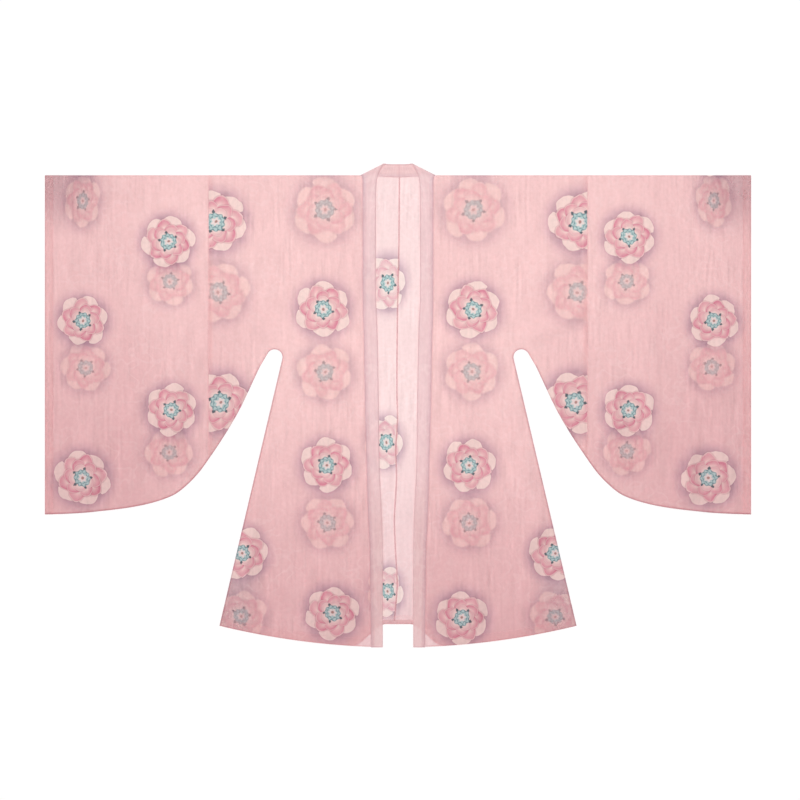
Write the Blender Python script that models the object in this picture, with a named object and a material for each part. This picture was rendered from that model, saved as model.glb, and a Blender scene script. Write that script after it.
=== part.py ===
"""Hanfu robe with wide sleeves and an open front, laid out flat with its front upwards.

Metres, +Z up.  The robe rests on its back at z = 0, its shoulders towards +Y.  Left and right are
the wearer's, so the left half lies at +X.  The origin is the middle of the robe's outline on the
surface that it rests on.

The cut is the old flat one.  Each half of the body is one piece of cloth, front and back with the
top of the sleeve, folded over the shoulder.  A second folded piece lengthens the sleeve.  A
straight doubled band edges the front opening and stands up behind the neck, where its two
halves join.  The cloth has no shoulder seam.

Places on the cloth are given as (out, run): out is the distance from the centre line, and run is
the distance from the shoulder fold, down the front when positive and down the back when negative.
"""

from math import acos, atan2, cos, hypot, pi, sin

import bmesh
import bpy
from mathutils import Vector
from mathutils.geometry import delaunay_2d_cdt

# Driving sizes
SPAN = 1.800                 # cuff edge to cuff edge
FRONT_LENGTH = 1.203         # shoulder fold to the lowest point of the front hem
NECK_RISE = 0.031            # top of the neck band above the shoulder fold
SLEEVE_SEAM_OUT = 0.4825     # seam where the sleeve is lengthened
NECK_OUT = 0.0958            # side of the neck, where the band turns over the shoulder
NECK_DEPTH = 0.0030          # back neckline below the shoulder fold
CLOTH = 0.0010               # wall of the cloth
BAND_WALL = 0.0020           # the band is doubled
LAYER_GAP = 0.0006           # between the front and the back where they lie on each other
SEAM_GAP = 0.0003            # between pieces that are sewn edge to edge

# Hems
HEM_CORNER_OUT = 0.4552      # lower corner of the side seam
HEM_CORNER_RUN = 1.1490
BACK_HEM_RISE = 0.059        # the back hem is this much shorter at the centre
BACK_HEM_FLAT = 0.030        # and rises between these two distances from the centre
BACK_HEM_END = 0.180
CUFF_HEM = 0.018             # turned hem of the cuff
CUFF_HEM_STEP = 0.004        # the cloth climbs over the turned hem in this length
CUFF_HEM_WALL = 0.0018

# Armpit, a round between the sleeve and the side seam
ARMPIT_OUT = 0.3145
ARMPIT_RUN = 0.4640
ARMPIT_RADIUS = 0.0200

# Mesh spacing
EDGE_STEP = 0.034            # along outlines
FRONT_STEP = 0.036           # inside the front, which carries the folds
FOLD_STEPS = 4               # facets of the half turn over the shoulder
BAND_STEP = 0.050            # along the band

# Lower edge of the sleeve from the cuff inwards: out, run
SLEEVE_EDGE = (
    (0.9000, 0.8650),
    (0.7800, 0.8570),
    (0.6580, 0.8425),
    (0.5763, 0.8175),
    (0.5355, 0.7875),
    (0.4947, 0.7410),
    (0.4131, 0.6145),
    (0.3519, 0.4880),
)

# The band down the front opening: run, seam (out), free edge (out)
BAND_RUNS = (
    (0.0610, 0.0893, 0.0576),
    (0.3160, 0.0890, 0.0574),
    (0.3600, 0.0888, 0.0550),
    (0.4310, 0.0862, 0.0528),
    (0.5710, 0.0842, 0.0505),
    (0.6990, 0.0808, 0.0490),
    (0.7750, 0.0790, 0.0464),
    (0.8260, 0.0775, 0.0428),
    (0.8770, 0.0757, 0.0404),
    (0.9410, 0.0722, 0.0389),
    (1.0560, 0.0686, 0.0388),
    (1.2030, 0.0671, 0.0388),
)

# The band beside the neck, in front: seam out, seam run, free edge out, free edge run, lift
NECK_FRONT = (
    (0.0893, 0.0360, 0.0563, 0.0290, 0.0004),
    (0.0898, 0.0200, 0.0540, 0.0110, 0.0008),
    (0.0910, 0.0100, 0.0497, -0.0020, 0.0008),
    (0.0925, 0.0045, 0.0440, -0.0150, 0.0008),
)

# The band behind the neck, from the side of the neck to the centre: the same without the lift
NECK_BACK = (
    (0.0800, 0.0012, 0.0335, -0.0310),
    (0.0640, 0.0018, 0.0310, -0.0310),
    (0.0480, 0.0023, 0.0270, -0.0310),
    (0.0240, 0.0027, 0.0160, -0.0310),
)

# Where the band turns over the shoulder: seam end and free end of that fold
TURN_SEAM = (0.0958, 0.0000)
TURN_EDGE = (0.0362, -0.0310)

# The centre back seam wanders a little to either side: run down the back, place on X
CENTRE_SEAM = (
    (0.0000, 0.0036),
    (0.2000, 0.0020),
    (0.3500, -0.0013),
    (0.5500, -0.0028),
    (0.6200, -0.0013),
    (0.7000, -0.0056),
    (0.7750, -0.0038),
    (0.8750, -0.0092),
    (0.9600, -0.0061),
    (1.0450, -0.0022),
    (1.1440, -0.0100),
)

# Soft folds of the front: side (1 is the wearer's left), start out, start run, end out, end run,
# half width, height
FOLDS = (
    (-1, 0.215, 0.520, 0.200, 0.720, 0.030, 0.0016),
    (-1, 0.345, 0.700, 0.395, 1.020, 0.034, 0.0020),
    (-1, 0.175, 0.780, 0.165, 1.090, 0.040, 0.0018),
    (-1, 0.285, 0.860, 0.300, 1.080, 0.030, 0.0014),
    (-1, 0.330, 0.400, 0.470, 0.300, 0.032, 0.0022),
    (-1, 0.560, 0.420, 0.575, 0.700, 0.034, 0.0018),
    (-1, 0.670, 0.560, 0.680, 0.780, 0.030, 0.0022),
    (-1, 0.770, 0.480, 0.780, 0.790, 0.036, 0.0020),
    (-1, 0.840, 0.170, 0.835, 0.420, 0.030, 0.0012),
    (1, 0.165, 0.560, 0.170, 0.690, 0.030, 0.0014),
    (1, 0.300, 0.580, 0.355, 0.920, 0.034, 0.0022),
    (1, 0.190, 0.840, 0.200, 1.110, 0.036, 0.0020),
    (1, 0.320, 0.960, 0.335, 1.100, 0.030, 0.0014),
    (1, 0.340, 0.410, 0.500, 0.330, 0.034, 0.0024),
    (1, 0.545, 0.500, 0.560, 0.730, 0.032, 0.0016),
    (1, 0.640, 0.380, 0.655, 0.760, 0.036, 0.0020),
    (1, 0.740, 0.600, 0.745, 0.810, 0.030, 0.0022),
    (1, 0.825, 0.440, 0.830, 0.760, 0.034, 0.0018),
)
FOLD_EASE = 0.040            # a fold dies out over this length at its ends
EDGE_EASE = 0.030            # and before the edges of the cloth

# Worked out from the sizes above
SHOULDER_Y = (FRONT_LENGTH + NECK_RISE) / 2 - NECK_RISE
FRONT_Z = CLOTH + LAYER_GAP                  # underside of the front
FOLD_RADIUS = (CLOTH + LAYER_GAP) / 2        # of the middle of the cloth over the shoulder
FOLD_RUN = pi * FOLD_RADIUS / 2              # run on either side of the fold that is turned
SEAM_OUT = SLEEVE_SEAM_OUT - SEAM_GAP / 2
HALF_SPAN = SPAN / 2

ROSE = (0.871, 0.462, 0.465, 1.0)
PALE_ROSE = (0.871, 0.600, 0.610, 1.0)


def blend(amount):
    """Smooth step from 0 to 1."""
    t = min(max(amount, 0.0), 1.0)
    return t * t * (3 - 2 * t)


def curve_value(table, place, column):
    """Value of a table's column at a place in its first column, on a smooth curve."""
    rows = sorted(table)
    place = min(max(place, rows[0][0]), rows[-1][0])
    last = len(rows) - 2
    at = next((i for i in range(last + 1) if place <= rows[i + 1][0]), last)

    def slope(i):
        low = rows[max(i - 1, 0)]
        high = rows[min(i + 1, len(rows) - 1)]
        return (high[column] - low[column]) / (high[0] - low[0])

    width = rows[at + 1][0] - rows[at][0]
    t = (place - rows[at][0]) / width
    start = rows[at][column] * (2 * t ** 3 - 3 * t ** 2 + 1)
    end = rows[at + 1][column] * (3 * t ** 2 - 2 * t ** 3)
    leave = slope(at) * width * (t ** 3 - 2 * t ** 2 + t)
    arrive = slope(at + 1) * width * (t ** 3 - t ** 2)
    return start + end + leave + arrive


def sleeve_run(out):
    """Depth of the sleeve's lower edge."""
    return curve_value(SLEEVE_EDGE, out, 1)


def front_hem_run(out):
    """The front hem is a shallow bow that rises to the side seam."""
    rise = FRONT_LENGTH - HEM_CORNER_RUN
    return FRONT_LENGTH - rise * (out / HEM_CORNER_OUT) ** 2


def back_hem_run(out):
    """The back hem follows the front hem and rises at the centre."""
    far = blend((out - BACK_HEM_FLAT) / (BACK_HEM_END - BACK_HEM_FLAT))
    return front_hem_run(out) - BACK_HEM_RISE * (1 - far)


def steps_between(start, end, step):
    """Evenly spaced numbers from start up to, but without, end."""
    count = max(1, round(abs(end - start) / step))
    return [start + (end - start) * i / count for i in range(count)]


def tangent_angle(point, inner):
    """Angle on the armpit's round where a straight line from a point touches it."""
    across = point[0] - ARMPIT_OUT
    along = point[1] - ARMPIT_RUN
    turn = acos(ARMPIT_RADIUS / hypot(across, along))
    towards = atan2(along, across)
    return towards + turn if inner else towards - turn


def under_edge():
    """Sewn edge of the body half, from the sleeve seam under the arm to the hem corner."""
    inner_end = SLEEVE_EDGE[-1]
    corner = (HEM_CORNER_OUT, HEM_CORNER_RUN)
    edge = [(out, sleeve_run(out)) for out in steps_between(SEAM_OUT, inner_end[0], EDGE_STEP)]
    edge.append(inner_end)
    first = tangent_angle(inner_end, inner=False)
    last = tangent_angle(corner, inner=True) - 2 * pi
    turns = 6
    for i in range(turns + 1):
        angle = first + (last - first) * i / turns
        out = ARMPIT_OUT + ARMPIT_RADIUS * cos(angle)
        edge.append((out, ARMPIT_RUN + ARMPIT_RADIUS * sin(angle)))
    leave = edge[-1]
    for part in steps_between(0.0, 1.0, EDGE_STEP / (corner[1] - leave[1]))[1:]:
        out = leave[0] + (corner[0] - leave[0]) * part
        edge.append((out, leave[1] + (corner[1] - leave[1]) * part))
    edge.append(corner)
    return edge


def band_seam_out(run):
    """Seam between the front and the band, beside the neck too."""
    beside_neck = [(row[1], row[0]) for row in NECK_FRONT]
    table = [(TURN_SEAM[1], TURN_SEAM[0])] + beside_neck + [(row[0], row[1]) for row in BAND_RUNS]
    return curve_value(table, run, 1)


def body_outline(side):
    """Outline of one body half on the unfolded cloth, starting at the back neckline's centre."""
    neck = NECK_OUT + SEAM_GAP
    neckline = -NECK_DEPTH - SEAM_GAP
    outline = [(out, neckline) for out in steps_between(centre_out(side, 0.0), neck, EDGE_STEP)]
    outline.append((neck, neckline))
    outline.append((neck, FOLD_RUN))
    hem_out = band_seam_out(FRONT_LENGTH) + SEAM_GAP
    hem_run = front_hem_run(hem_out)
    runs = [row[1] for row in NECK_FRONT[::-1]] + steps_between(BAND_RUNS[0][0], hem_run, EDGE_STEP * 1.5)
    outline += [(band_seam_out(run) + SEAM_GAP, run) for run in runs]
    outline += [(out, front_hem_run(out)) for out in steps_between(hem_out, HEM_CORNER_OUT, EDGE_STEP)]
    side_edge = under_edge()
    outline += side_edge[::-1]
    outline += [(SEAM_OUT, run) for run in steps_between(sleeve_run(SEAM_OUT), FOLD_RUN, EDGE_STEP)[1:]]
    outline += [(SEAM_OUT, run) for run in fold_rows()]
    outline += [(SEAM_OUT, -run) for run in steps_between(FOLD_RUN, sleeve_run(SEAM_OUT), EDGE_STEP)[1:]]
    outline += [(out, -run) for out, run in side_edge]
    centre = centre_out(side, back_hem_run(0.0))
    outline += [(out, -back_hem_run(out)) for out in steps_between(HEM_CORNER_OUT, centre, EDGE_STEP)[1:]]
    outline += [
        (centre_out(side, run), -run)
        for run in steps_between(back_hem_run(0.0), NECK_DEPTH + SEAM_GAP, EDGE_STEP)
    ]
    return outline


def sleeve_outline():
    """Outline of the piece that lengthens the sleeve, on the unfolded cloth."""
    seam = SEAM_OUT + SEAM_GAP
    lower = [(out, sleeve_run(out)) for out in sleeve_stations(seam)]
    down = sleeve_run(seam)
    cuff = sleeve_run(HALF_SPAN)
    outline = [(seam, run) for run in steps_between(-FOLD_RUN, -down, EDGE_STEP)][::-1]
    outline = [(seam, -down)] + outline
    outline += [(seam, run) for run in fold_rows()[::-1][1:-1]]
    outline += [(seam, run) for run in steps_between(FOLD_RUN, down, EDGE_STEP)]
    outline += lower
    outline += [(HALF_SPAN, run) for run in steps_between(cuff, FOLD_RUN, EDGE_STEP)]
    outline += [(HALF_SPAN, run) for run in fold_rows()[:-1]]
    outline += [(HALF_SPAN, run) for run in steps_between(-FOLD_RUN, -cuff, EDGE_STEP)]
    outline += [(out, -run) for out, run in [(HALF_SPAN, cuff)] + lower[:0:-1]]
    return outline


def sleeve_stations(seam):
    """Places along the sleeve, with a closer pair where the cuff's hem steps up."""
    hem_end = HALF_SPAN - CUFF_HEM
    return steps_between(seam, hem_end - CUFF_HEM_STEP, EDGE_STEP) + [hem_end - CUFF_HEM_STEP, hem_end]


def centre_out(side, run):
    """Half of the back ends at the centre seam, with half of the seam's gap on each side."""
    return side * curve_value(CENTRE_SEAM, run, 1) + SEAM_GAP / 2


def fold_rows():
    """Rows of points over the shoulder fold, front to back."""
    return [FOLD_RUN * (1 - 2 * i / FOLD_STEPS) for i in range(FOLD_STEPS + 1)]


def inside(point, outline):
    """Whether a point lies inside an outline."""
    found = False
    for (x0, y0), (x1, y1) in zip(outline, outline[1:] + outline[:1]):
        if (y0 > point[1]) != (y1 > point[1]):
            if point[0] < x0 + (point[1] - y0) * (x1 - x0) / (y1 - y0):
                found = not found
    return found


def edge_distance(point, outline):
    """Distance from a point to the nearest corner or side of an outline."""
    nearest = 1.0
    spot = Vector(point)
    for start, end in zip(outline, outline[1:] + outline[:1]):
        line = Vector(end) - Vector(start)
        length = line.length_squared
        along = min(max((spot - Vector(start)).dot(line) / length, 0.0), 1.0) if length else 0.0
        nearest = min(nearest, (spot - Vector(start) - line * along).length)
    return nearest


def cloth_wall(out):
    """Thickness of the cloth, doubled in the turned hem of the cuff."""
    into_hem = (out - (HALF_SPAN - CUFF_HEM - CUFF_HEM_STEP)) / CUFF_HEM_STEP
    return CLOTH + (CUFF_HEM_WALL - CLOTH) * min(max(into_hem, 0.0), 1.0)


def fold_height(side, out, run, from_edge):
    """Rise of the front over the soft folds near a place."""
    height = 0.0
    for fold_side, out0, run0, out1, run1, half_width, peak in FOLDS:
        if fold_side != side:
            continue
        length = hypot(out1 - out0, run1 - run0)
        ahead = ((out - out0) * (out1 - out0) + (run - run0) * (run1 - run0)) / length
        across = abs((out - out0) * (run1 - run0) - (run - run0) * (out1 - out0)) / length
        ends = blend(ahead / FOLD_EASE + 1) * blend((length - ahead) / FOLD_EASE + 1)
        height += peak * ends * blend(1 - across / (2 * half_width))
    return height * blend(from_edge / EDGE_EASE)


def folded_place(side, out, run, from_edge, outer):
    """Place of a point of the unfolded cloth once the cloth is folded and laid down."""
    wall = cloth_wall(out)
    lift = wall if outer else 0.0
    if abs(run) >= FOLD_RUN:
        y = SHOULDER_Y - FOLD_RADIUS - CLOTH / 2 - (abs(run) - FOLD_RUN)
        if run > 0:
            z = wall + LAYER_GAP + fold_height(side, out, run, from_edge) + lift
        else:
            z = wall - lift
        return Vector((side * out, y, z))
    angle = run / FOLD_RUN * pi / 2
    radius = (wall + LAYER_GAP) / 2 + (wall / 2 if outer else -wall / 2)
    y = SHOULDER_Y - FOLD_RADIUS - CLOTH / 2 + radius * cos(angle)
    z = wall + LAYER_GAP / 2 + radius * sin(angle)
    return Vector((side * out, y, z))


def inner_points(outline):
    """Points over the front, in staggered rows clear of the outline."""
    points = []
    row_step = FRONT_STEP * 0.87
    lowest = max(run for _, run in outline)
    widest = max(out for out, _ in outline)
    hem_start = HALF_SPAN - CUFF_HEM - CUFF_HEM_STEP - FRONT_STEP * 0.45
    rows = int(lowest / row_step) + 1
    columns = int(widest / FRONT_STEP) + 1
    for row in range(rows):
        run = FOLD_RUN + row_step * (row + 0.6)
        for column in range(columns):
            point = (FRONT_STEP * (column + 0.5 * (row % 2)), run)
            clear = edge_distance(point, outline) > FRONT_STEP * 0.45
            if clear and inside(point, outline) and point[0] < hem_start:
                points.append(point)
    return points


def shoulder_points(outline):
    """Rows of points across the shoulder fold, between the ends that the outline already has."""
    outs = [out for out, run in outline if abs(run) < FOLD_RUN * 1.01]
    low = min(outs)
    high = max(outs)
    hem_end = HALF_SPAN - CUFF_HEM
    stations = steps_between(low, high, EDGE_STEP)[1:]
    if high > hem_end:
        stations = [out for out in stations if out < hem_end - EDGE_STEP / 2]
        stations += [hem_end - CUFF_HEM_STEP, hem_end]
    return [(out, run) for out in stations for run in fold_rows()]


def hem_points(outline):
    """Pairs of points along the step of the cuff's turned hem, down the front and the back."""
    hem_end = HALF_SPAN - CUFF_HEM
    if max(out for out, _ in outline) < hem_end:
        return []
    runs = steps_between(FOLD_RUN, sleeve_run(hem_end), EDGE_STEP)[1:]
    pairs = [(out, run) for run in runs for out in (hem_end - CUFF_HEM_STEP, hem_end)]
    return pairs + [(out, -run) for out, run in pairs]


def folded_cloth(name, side, outline, colour):
    """One piece of cloth, cut to an outline, folded over the shoulder and laid down."""
    points = outline + shoulder_points(outline) + hem_points(outline) + inner_points(outline)
    flat = [Vector(point) for point in points]
    loop = list(range(len(outline)))
    verts, _, faces, _, _, _ = delaunay_2d_cdt(flat, [], [loop], 1, 1e-6)
    eased = [edge_distance(vert, outline) for vert in verts]
    mesh = bmesh.new()
    layers = {}
    for outer in (True, False):
        layers[outer] = [
            mesh.verts.new(folded_place(side, vert[0], vert[1], ease, outer))
            for vert, ease in zip(verts, eased)
        ]
    borders = {}
    for face in faces:
        mesh.faces.new([layers[True][i] for i in face])
        mesh.faces.new([layers[False][i] for i in reversed(face)])
        for pair in zip(face, face[1:] + face[:1]):
            borders[pair] = pair[::-1] not in borders
            if not borders[pair]:
                borders[pair[::-1]] = False
    for (start, end), is_border in borders.items():
        if is_border:
            rim = [layers[True][end], layers[True][start], layers[False][start], layers[False][end]]
            mesh.faces.new(rim)
    return add_piece(name, mesh, colour)


def band_sections(side):
    """Sections of one half of the band: seam end, free end, middle height and outward normal."""
    middle = FRONT_Z + BAND_WALL / 2
    sections = []
    up = Vector((0, 0, 1))

    def spot(out, run):
        return Vector((side * out, SHOULDER_Y - run, 0))

    hem = FRONT_LENGTH
    for run in steps_between(hem, BAND_RUNS[0][0], BAND_STEP) + [BAND_RUNS[0][0]]:
        seam = curve_value(BAND_RUNS, run, 1)
        edge = curve_value(BAND_RUNS, run, 2)
        sections.append((spot(seam, run), spot(edge, run), middle, up))
    for seam_out, seam_run, edge_out, edge_run, lift in NECK_FRONT:
        sections.append((spot(seam_out, seam_run), spot(edge_out, edge_run), middle + lift, up))
    seam_end = spot(*TURN_SEAM)
    free_end = spot(*TURN_EDGE)
    along = (free_end - seam_end).normalized()
    outward = Vector((-along.y, along.x, 0)) * (1 if along.x > 0 else -1)
    top = middle + NECK_FRONT[-1][4]
    radius = (top - BAND_WALL / 2) / 2
    reach = radius + BAND_WALL / 2
    for i in range(FOLD_STEPS + 1):
        angle = pi / 2 - pi * i / FOLD_STEPS
        move = outward * (radius * cos(angle) - reach)
        normal = outward * cos(angle) + up * sin(angle)
        height = BAND_WALL / 2 + radius + radius * sin(angle)
        sections.append((seam_end + move, free_end + move, height, normal))
    for seam_out, seam_run, edge_out, edge_run in NECK_BACK:
        sections.append((spot(seam_out, seam_run), spot(edge_out, edge_run), BAND_WALL / 2, -up))
    centre = centre_out(side, 0.0)
    last = NECK_BACK[-1]
    sections.append((spot(centre, NECK_DEPTH), spot(centre, last[3]), BAND_WALL / 2, -up))
    return sections


def neck_band(name, side, colour):
    """One half of the doubled band, skinned over its sections, with its folded edge rounded."""
    mesh = bmesh.new()
    rings = []
    half = BAND_WALL / 2
    for seam, edge, height, normal in band_sections(side):
        across = (edge - seam).normalized()
        base = Vector((0, 0, height))
        ring = [
            seam + base + normal * half,
            edge + base + normal * half - across * half,
            edge + base + normal * half * 0.5 - across * half * 0.13,
            edge + base - normal * half * 0.5 - across * half * 0.13,
            edge + base - normal * half - across * half,
            seam + base - normal * half,
        ]
        rings.append([mesh.verts.new(point) for point in ring])
    for ring, following in zip(rings, rings[1:]):
        for i in range(len(ring)):
            k = (i + 1) % len(ring)
            mesh.faces.new([ring[i], ring[k], following[k], following[i]])
    mesh.faces.new(rings[0][::-1])
    mesh.faces.new(rings[-1])
    return add_piece(name, mesh, colour)


def add_piece(name, mesh, colour):
    """Turn a bmesh into an object with its own cloth material."""
    bmesh.ops.triangulate(mesh, faces=mesh.faces[:])
    bmesh.ops.recalc_face_normals(mesh, faces=mesh.faces[:])
    data = bpy.data.meshes.new(name)
    mesh.to_mesh(data)
    mesh.free()
    data.shade_smooth()
    data.set_sharp_from_angle(angle=pi / 6)
    piece = bpy.data.objects.new(name, data)
    bpy.context.scene.collection.objects.link(piece)
    cloth = bpy.data.materials.new(name + "_cloth")
    cloth.use_nodes = True
    shader = cloth.node_tree.nodes["Principled BSDF"]
    shader.inputs["Base Color"].default_value = colour
    shader.inputs["Roughness"].default_value = 0.85
    shader.inputs["Metallic"].default_value = 0.0
    data.materials.append(cloth)
    return piece


def main():
    """Build the robe, one half at a time."""
    for old in list(bpy.data.objects):
        bpy.data.objects.remove(old, do_unlink=True)
    for side, hand in ((-1, "right"), (1, "left")):
        folded_cloth("body_" + hand, side, body_outline(side), ROSE)
        folded_cloth("sleeve_" + hand, side, sleeve_outline(), ROSE)
        neck_band("collar_" + hand, side, PALE_ROSE)


main()
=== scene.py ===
"""Hanfu robe of sheer printed chiffon, laid flat on a pale floor with its front upwards.

Metres, +Z up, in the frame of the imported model.  Left and right are the wearer's, so the left half
of the robe lies at +X and the shoulders lie towards +Y.

Places on the cloth are given as (out, run) before it is folded over the shoulder: out is the
distance from the centre line, and run is the distance from the shoulder fold, down the front when
positive and down the back when negative.
"""

from functools import partial
from math import acos, atan2, cos, hypot, pi, radians, sin

import bpy
import numpy as np
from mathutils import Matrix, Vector, kdtree, noise
from mathutils.geometry import delaunay_2d_cdt


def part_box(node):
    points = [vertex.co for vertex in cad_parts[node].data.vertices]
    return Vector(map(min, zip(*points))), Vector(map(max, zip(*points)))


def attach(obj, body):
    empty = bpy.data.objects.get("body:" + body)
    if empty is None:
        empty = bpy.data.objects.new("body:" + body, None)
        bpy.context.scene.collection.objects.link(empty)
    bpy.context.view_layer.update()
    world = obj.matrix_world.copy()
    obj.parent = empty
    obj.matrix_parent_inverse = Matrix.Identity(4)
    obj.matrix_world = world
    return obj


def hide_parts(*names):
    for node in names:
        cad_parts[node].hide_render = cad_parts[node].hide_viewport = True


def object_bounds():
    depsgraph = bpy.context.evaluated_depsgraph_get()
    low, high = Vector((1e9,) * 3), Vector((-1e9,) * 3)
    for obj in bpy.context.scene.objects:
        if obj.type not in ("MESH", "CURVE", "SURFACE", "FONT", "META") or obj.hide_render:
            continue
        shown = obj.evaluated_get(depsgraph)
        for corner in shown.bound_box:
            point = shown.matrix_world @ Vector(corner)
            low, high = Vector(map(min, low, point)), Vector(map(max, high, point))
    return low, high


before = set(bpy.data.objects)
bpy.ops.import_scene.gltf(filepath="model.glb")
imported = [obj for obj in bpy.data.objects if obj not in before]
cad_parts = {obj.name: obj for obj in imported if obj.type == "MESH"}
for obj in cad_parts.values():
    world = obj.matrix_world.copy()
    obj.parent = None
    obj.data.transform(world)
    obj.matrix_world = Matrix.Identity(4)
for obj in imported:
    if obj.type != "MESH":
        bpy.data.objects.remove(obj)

bl_info = {
    "name": "Hanfu Robe",
    "version": (1, 0, 0),
    "blender": (4, 5, 0),
    "location": "3D View > Sidebar > Robe",
    "description": "Builds a sheer printed robe laid flat, with its seams, hems and stage",
    "category": "Add Mesh",
}

MM = 0.001
CAD_BOX = [list(corner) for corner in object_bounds()]

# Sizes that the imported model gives
HALF_SPAN = CAD_BOX[1][0]
SHOULDER_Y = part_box("sleeve_left")[1][1]
FRONT_LENGTH = SHOULDER_Y - CAD_BOX[0][1]
SEAM_OUT = (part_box("sleeve_left")[0][0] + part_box("body_left")[1][0]) / 2

# Lie of the layers
BACK_Z = 0.5 * MM                # middle of the back's wall
FRONT_Z = 2.1 * MM               # middle of the front's wall
FOLD_RADIUS = (FRONT_Z - BACK_Z) / 2
FOLD_RUN = pi * FOLD_RADIUS / 2
FOLD_Z = (FRONT_Z + BACK_Z) / 2
FOLD_Y = SHOULDER_Y - FOLD_RADIUS - 0.5 * MM
BAND_FRONT_Z = FRONT_Z + 0.5 * MM
BAND_BACK_Z = 1.0 * MM           # middle of the doubled band behind the neck
BAND_HALF = 0.75 * MM            # half its thickness
INSET = 0.35 * MM                # between the cloth and what is sewn to its inside

# Cut of the robe
BAND_WIDTH = 0.033
NECK_OUT = 0.0958                # where the neckline meets the shoulder
NECK_DEPTH = 0.0030              # how low the neckline lies behind
HEM_CORNER_OUT = 0.4552          # where the hems meet the side seam
HEM_CORNER_RUN = 1.1490
HEM_CORNER = (HEM_CORNER_OUT, HEM_CORNER_RUN)
BACK_HEM_RISE = 0.059            # how much higher the back hem lies at the centre
BACK_HEM_FLAT = 0.030            # how far from the centre it stays that high
BACK_HEM_END = 0.118             # where it comes down to the front hem
BACK_LENGTH = FRONT_LENGTH - BACK_HEM_RISE
HEM_OPENING = 0.045              # how far out the back hem shows in the opening
BACK_STITCH_RUN = 1.100          # down the centre seam, where the back hem's stitches start
ARMPIT_OUT = 0.3145              # middle and radius of the round under the arm
ARMPIT_RUN = 0.4640
ARMPIT_RADIUS = 0.0200
TUCK = 9 * MM                    # how far the front's edge is tucked into the band
TUCK_EASE = 0.050                # how far down the front the tuck deepens

# Mesh
ARMPIT_POINTS = 17               # round the arc under the arm
SEWN_STEP = 2 * MM               # between the points that stand for a sewn edge
ROW_PITCH = 0.87                 # from row to row of points, in mesh spacings
EDGE_CLEAR = 0.55                # between a row's points and the edge, in mesh spacings
FOLD_CLEAR = 0.45                # between the rows and those over the fold, in mesh spacings
RING_GAP = 4 * MM                # between rings of points along the band, about

SIDES = (("right", -1), ("left", 1))

# Lower edge of the sleeve from the cuff inwards: out, run
SLEEVE_EDGE = (
    (0.9000, 0.8650),
    (0.8400, 0.8630),
    (0.7800, 0.8588),
    (0.6580, 0.8425),
    (0.5763, 0.8175),
    (0.5355, 0.7875),
    (0.4947, 0.7410),
    (0.4131, 0.6145),
    (0.3519, 0.4880),
)

# The band down the front opening: run, seam (out), free edge (out)
BAND_RUNS = (
    (0.0610, 0.0902, 0.0563),
    (0.3160, 0.0898, 0.0561),
    (0.3600, 0.0892, 0.0537),
    (0.4310, 0.0866, 0.0515),
    (0.5710, 0.0845, 0.0490),
    (0.6990, 0.0808, 0.0478),
    (0.7750, 0.0790, 0.0455),
    (0.8260, 0.0775, 0.0428),
    (0.8770, 0.0757, 0.0404),
    (0.9410, 0.0722, 0.0389),
    (1.0560, 0.0704, 0.0388),
    (1.2030, 0.0686, 0.0388),
)

# The band beside the neck, in front: seam out, seam run, free edge out, free edge run, lift
NECK_FRONT = (
    (0.0900, 0.0360, 0.0554, 0.0290, 0.0004),
    (0.0902, 0.0200, 0.0535, 0.0110, 0.0008),
    (0.0910, 0.0100, 0.0497, -0.0020, 0.0008),
    (0.0925, 0.0045, 0.0440, -0.0150, 0.0008),
)

# The band behind the neck, from the side of the neck to the centre: the same without the lift
NECK_BACK = (
    (0.0800, 0.0014, 0.0338, -0.0296),
    (0.0640, 0.0026, 0.0312, -0.0288),
    (0.0480, 0.0038, 0.0270, -0.0282),
    (0.0240, 0.0050, 0.0160, -0.0276),
)
TURN_SEAM = (0.0958, 0.0000)
TURN_EDGE = (0.0366, -0.0300)

# The centre back seam: run down the back, place on X
CENTRE_SEAM = (
    (0.0000, 0.0036),
    (0.2000, 0.0020),
    (0.3500, -0.0013),
    (0.5500, -0.0028),
    (0.6200, -0.0013),
    (0.7000, -0.0056),
    (0.7750, -0.0038),
    (0.8750, -0.0092),
    (0.9600, -0.0061),
    (1.0450, -0.0022),
    (1.1440, -0.0100),
)

# Soft folds of the front: side, start out, start run, end out, end run, half width, height
FOLDS = (
    (-1, 0.215, 0.520, 0.200, 0.720, 0.018, 0.0059),
    (-1, 0.345, 0.700, 0.395, 1.020, 0.020, 0.0074),
    (-1, 0.175, 0.780, 0.165, 1.090, 0.024, 0.0066),
    (-1, 0.285, 0.860, 0.300, 1.080, 0.018, 0.0051),
    (-1, 0.330, 0.400, 0.470, 0.300, 0.019, 0.0082),
    (-1, 0.560, 0.420, 0.575, 0.700, 0.020, 0.0066),
    (-1, 0.670, 0.560, 0.680, 0.780, 0.018, 0.0082),
    (-1, 0.770, 0.480, 0.780, 0.790, 0.021, 0.0074),
    (-1, 0.840, 0.170, 0.835, 0.420, 0.018, 0.0045),
    (1, 0.165, 0.560, 0.170, 0.690, 0.018, 0.0051),
    (1, 0.300, 0.580, 0.355, 0.920, 0.020, 0.0082),
    (1, 0.190, 0.840, 0.200, 1.110, 0.021, 0.0074),
    (1, 0.320, 0.960, 0.335, 1.100, 0.018, 0.0051),
    (1, 0.340, 0.410, 0.500, 0.330, 0.020, 0.0088),
    (1, 0.545, 0.500, 0.560, 0.730, 0.019, 0.0059),
    (1, 0.640, 0.380, 0.655, 0.760, 0.021, 0.0074),
    (1, 0.740, 0.600, 0.745, 0.810, 0.018, 0.0082),
    (1, 0.825, 0.440, 0.830, 0.760, 0.020, 0.0066),
)
FOLD_EASE = 0.040                # beyond each end of a fold, where it fades out
EDGE_EASE = 0.030                # folds and the edge of the cloth keep this far apart
CRINKLE_WIDTH = 0.021
CRINKLE_LENGTH = 0.150
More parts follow.
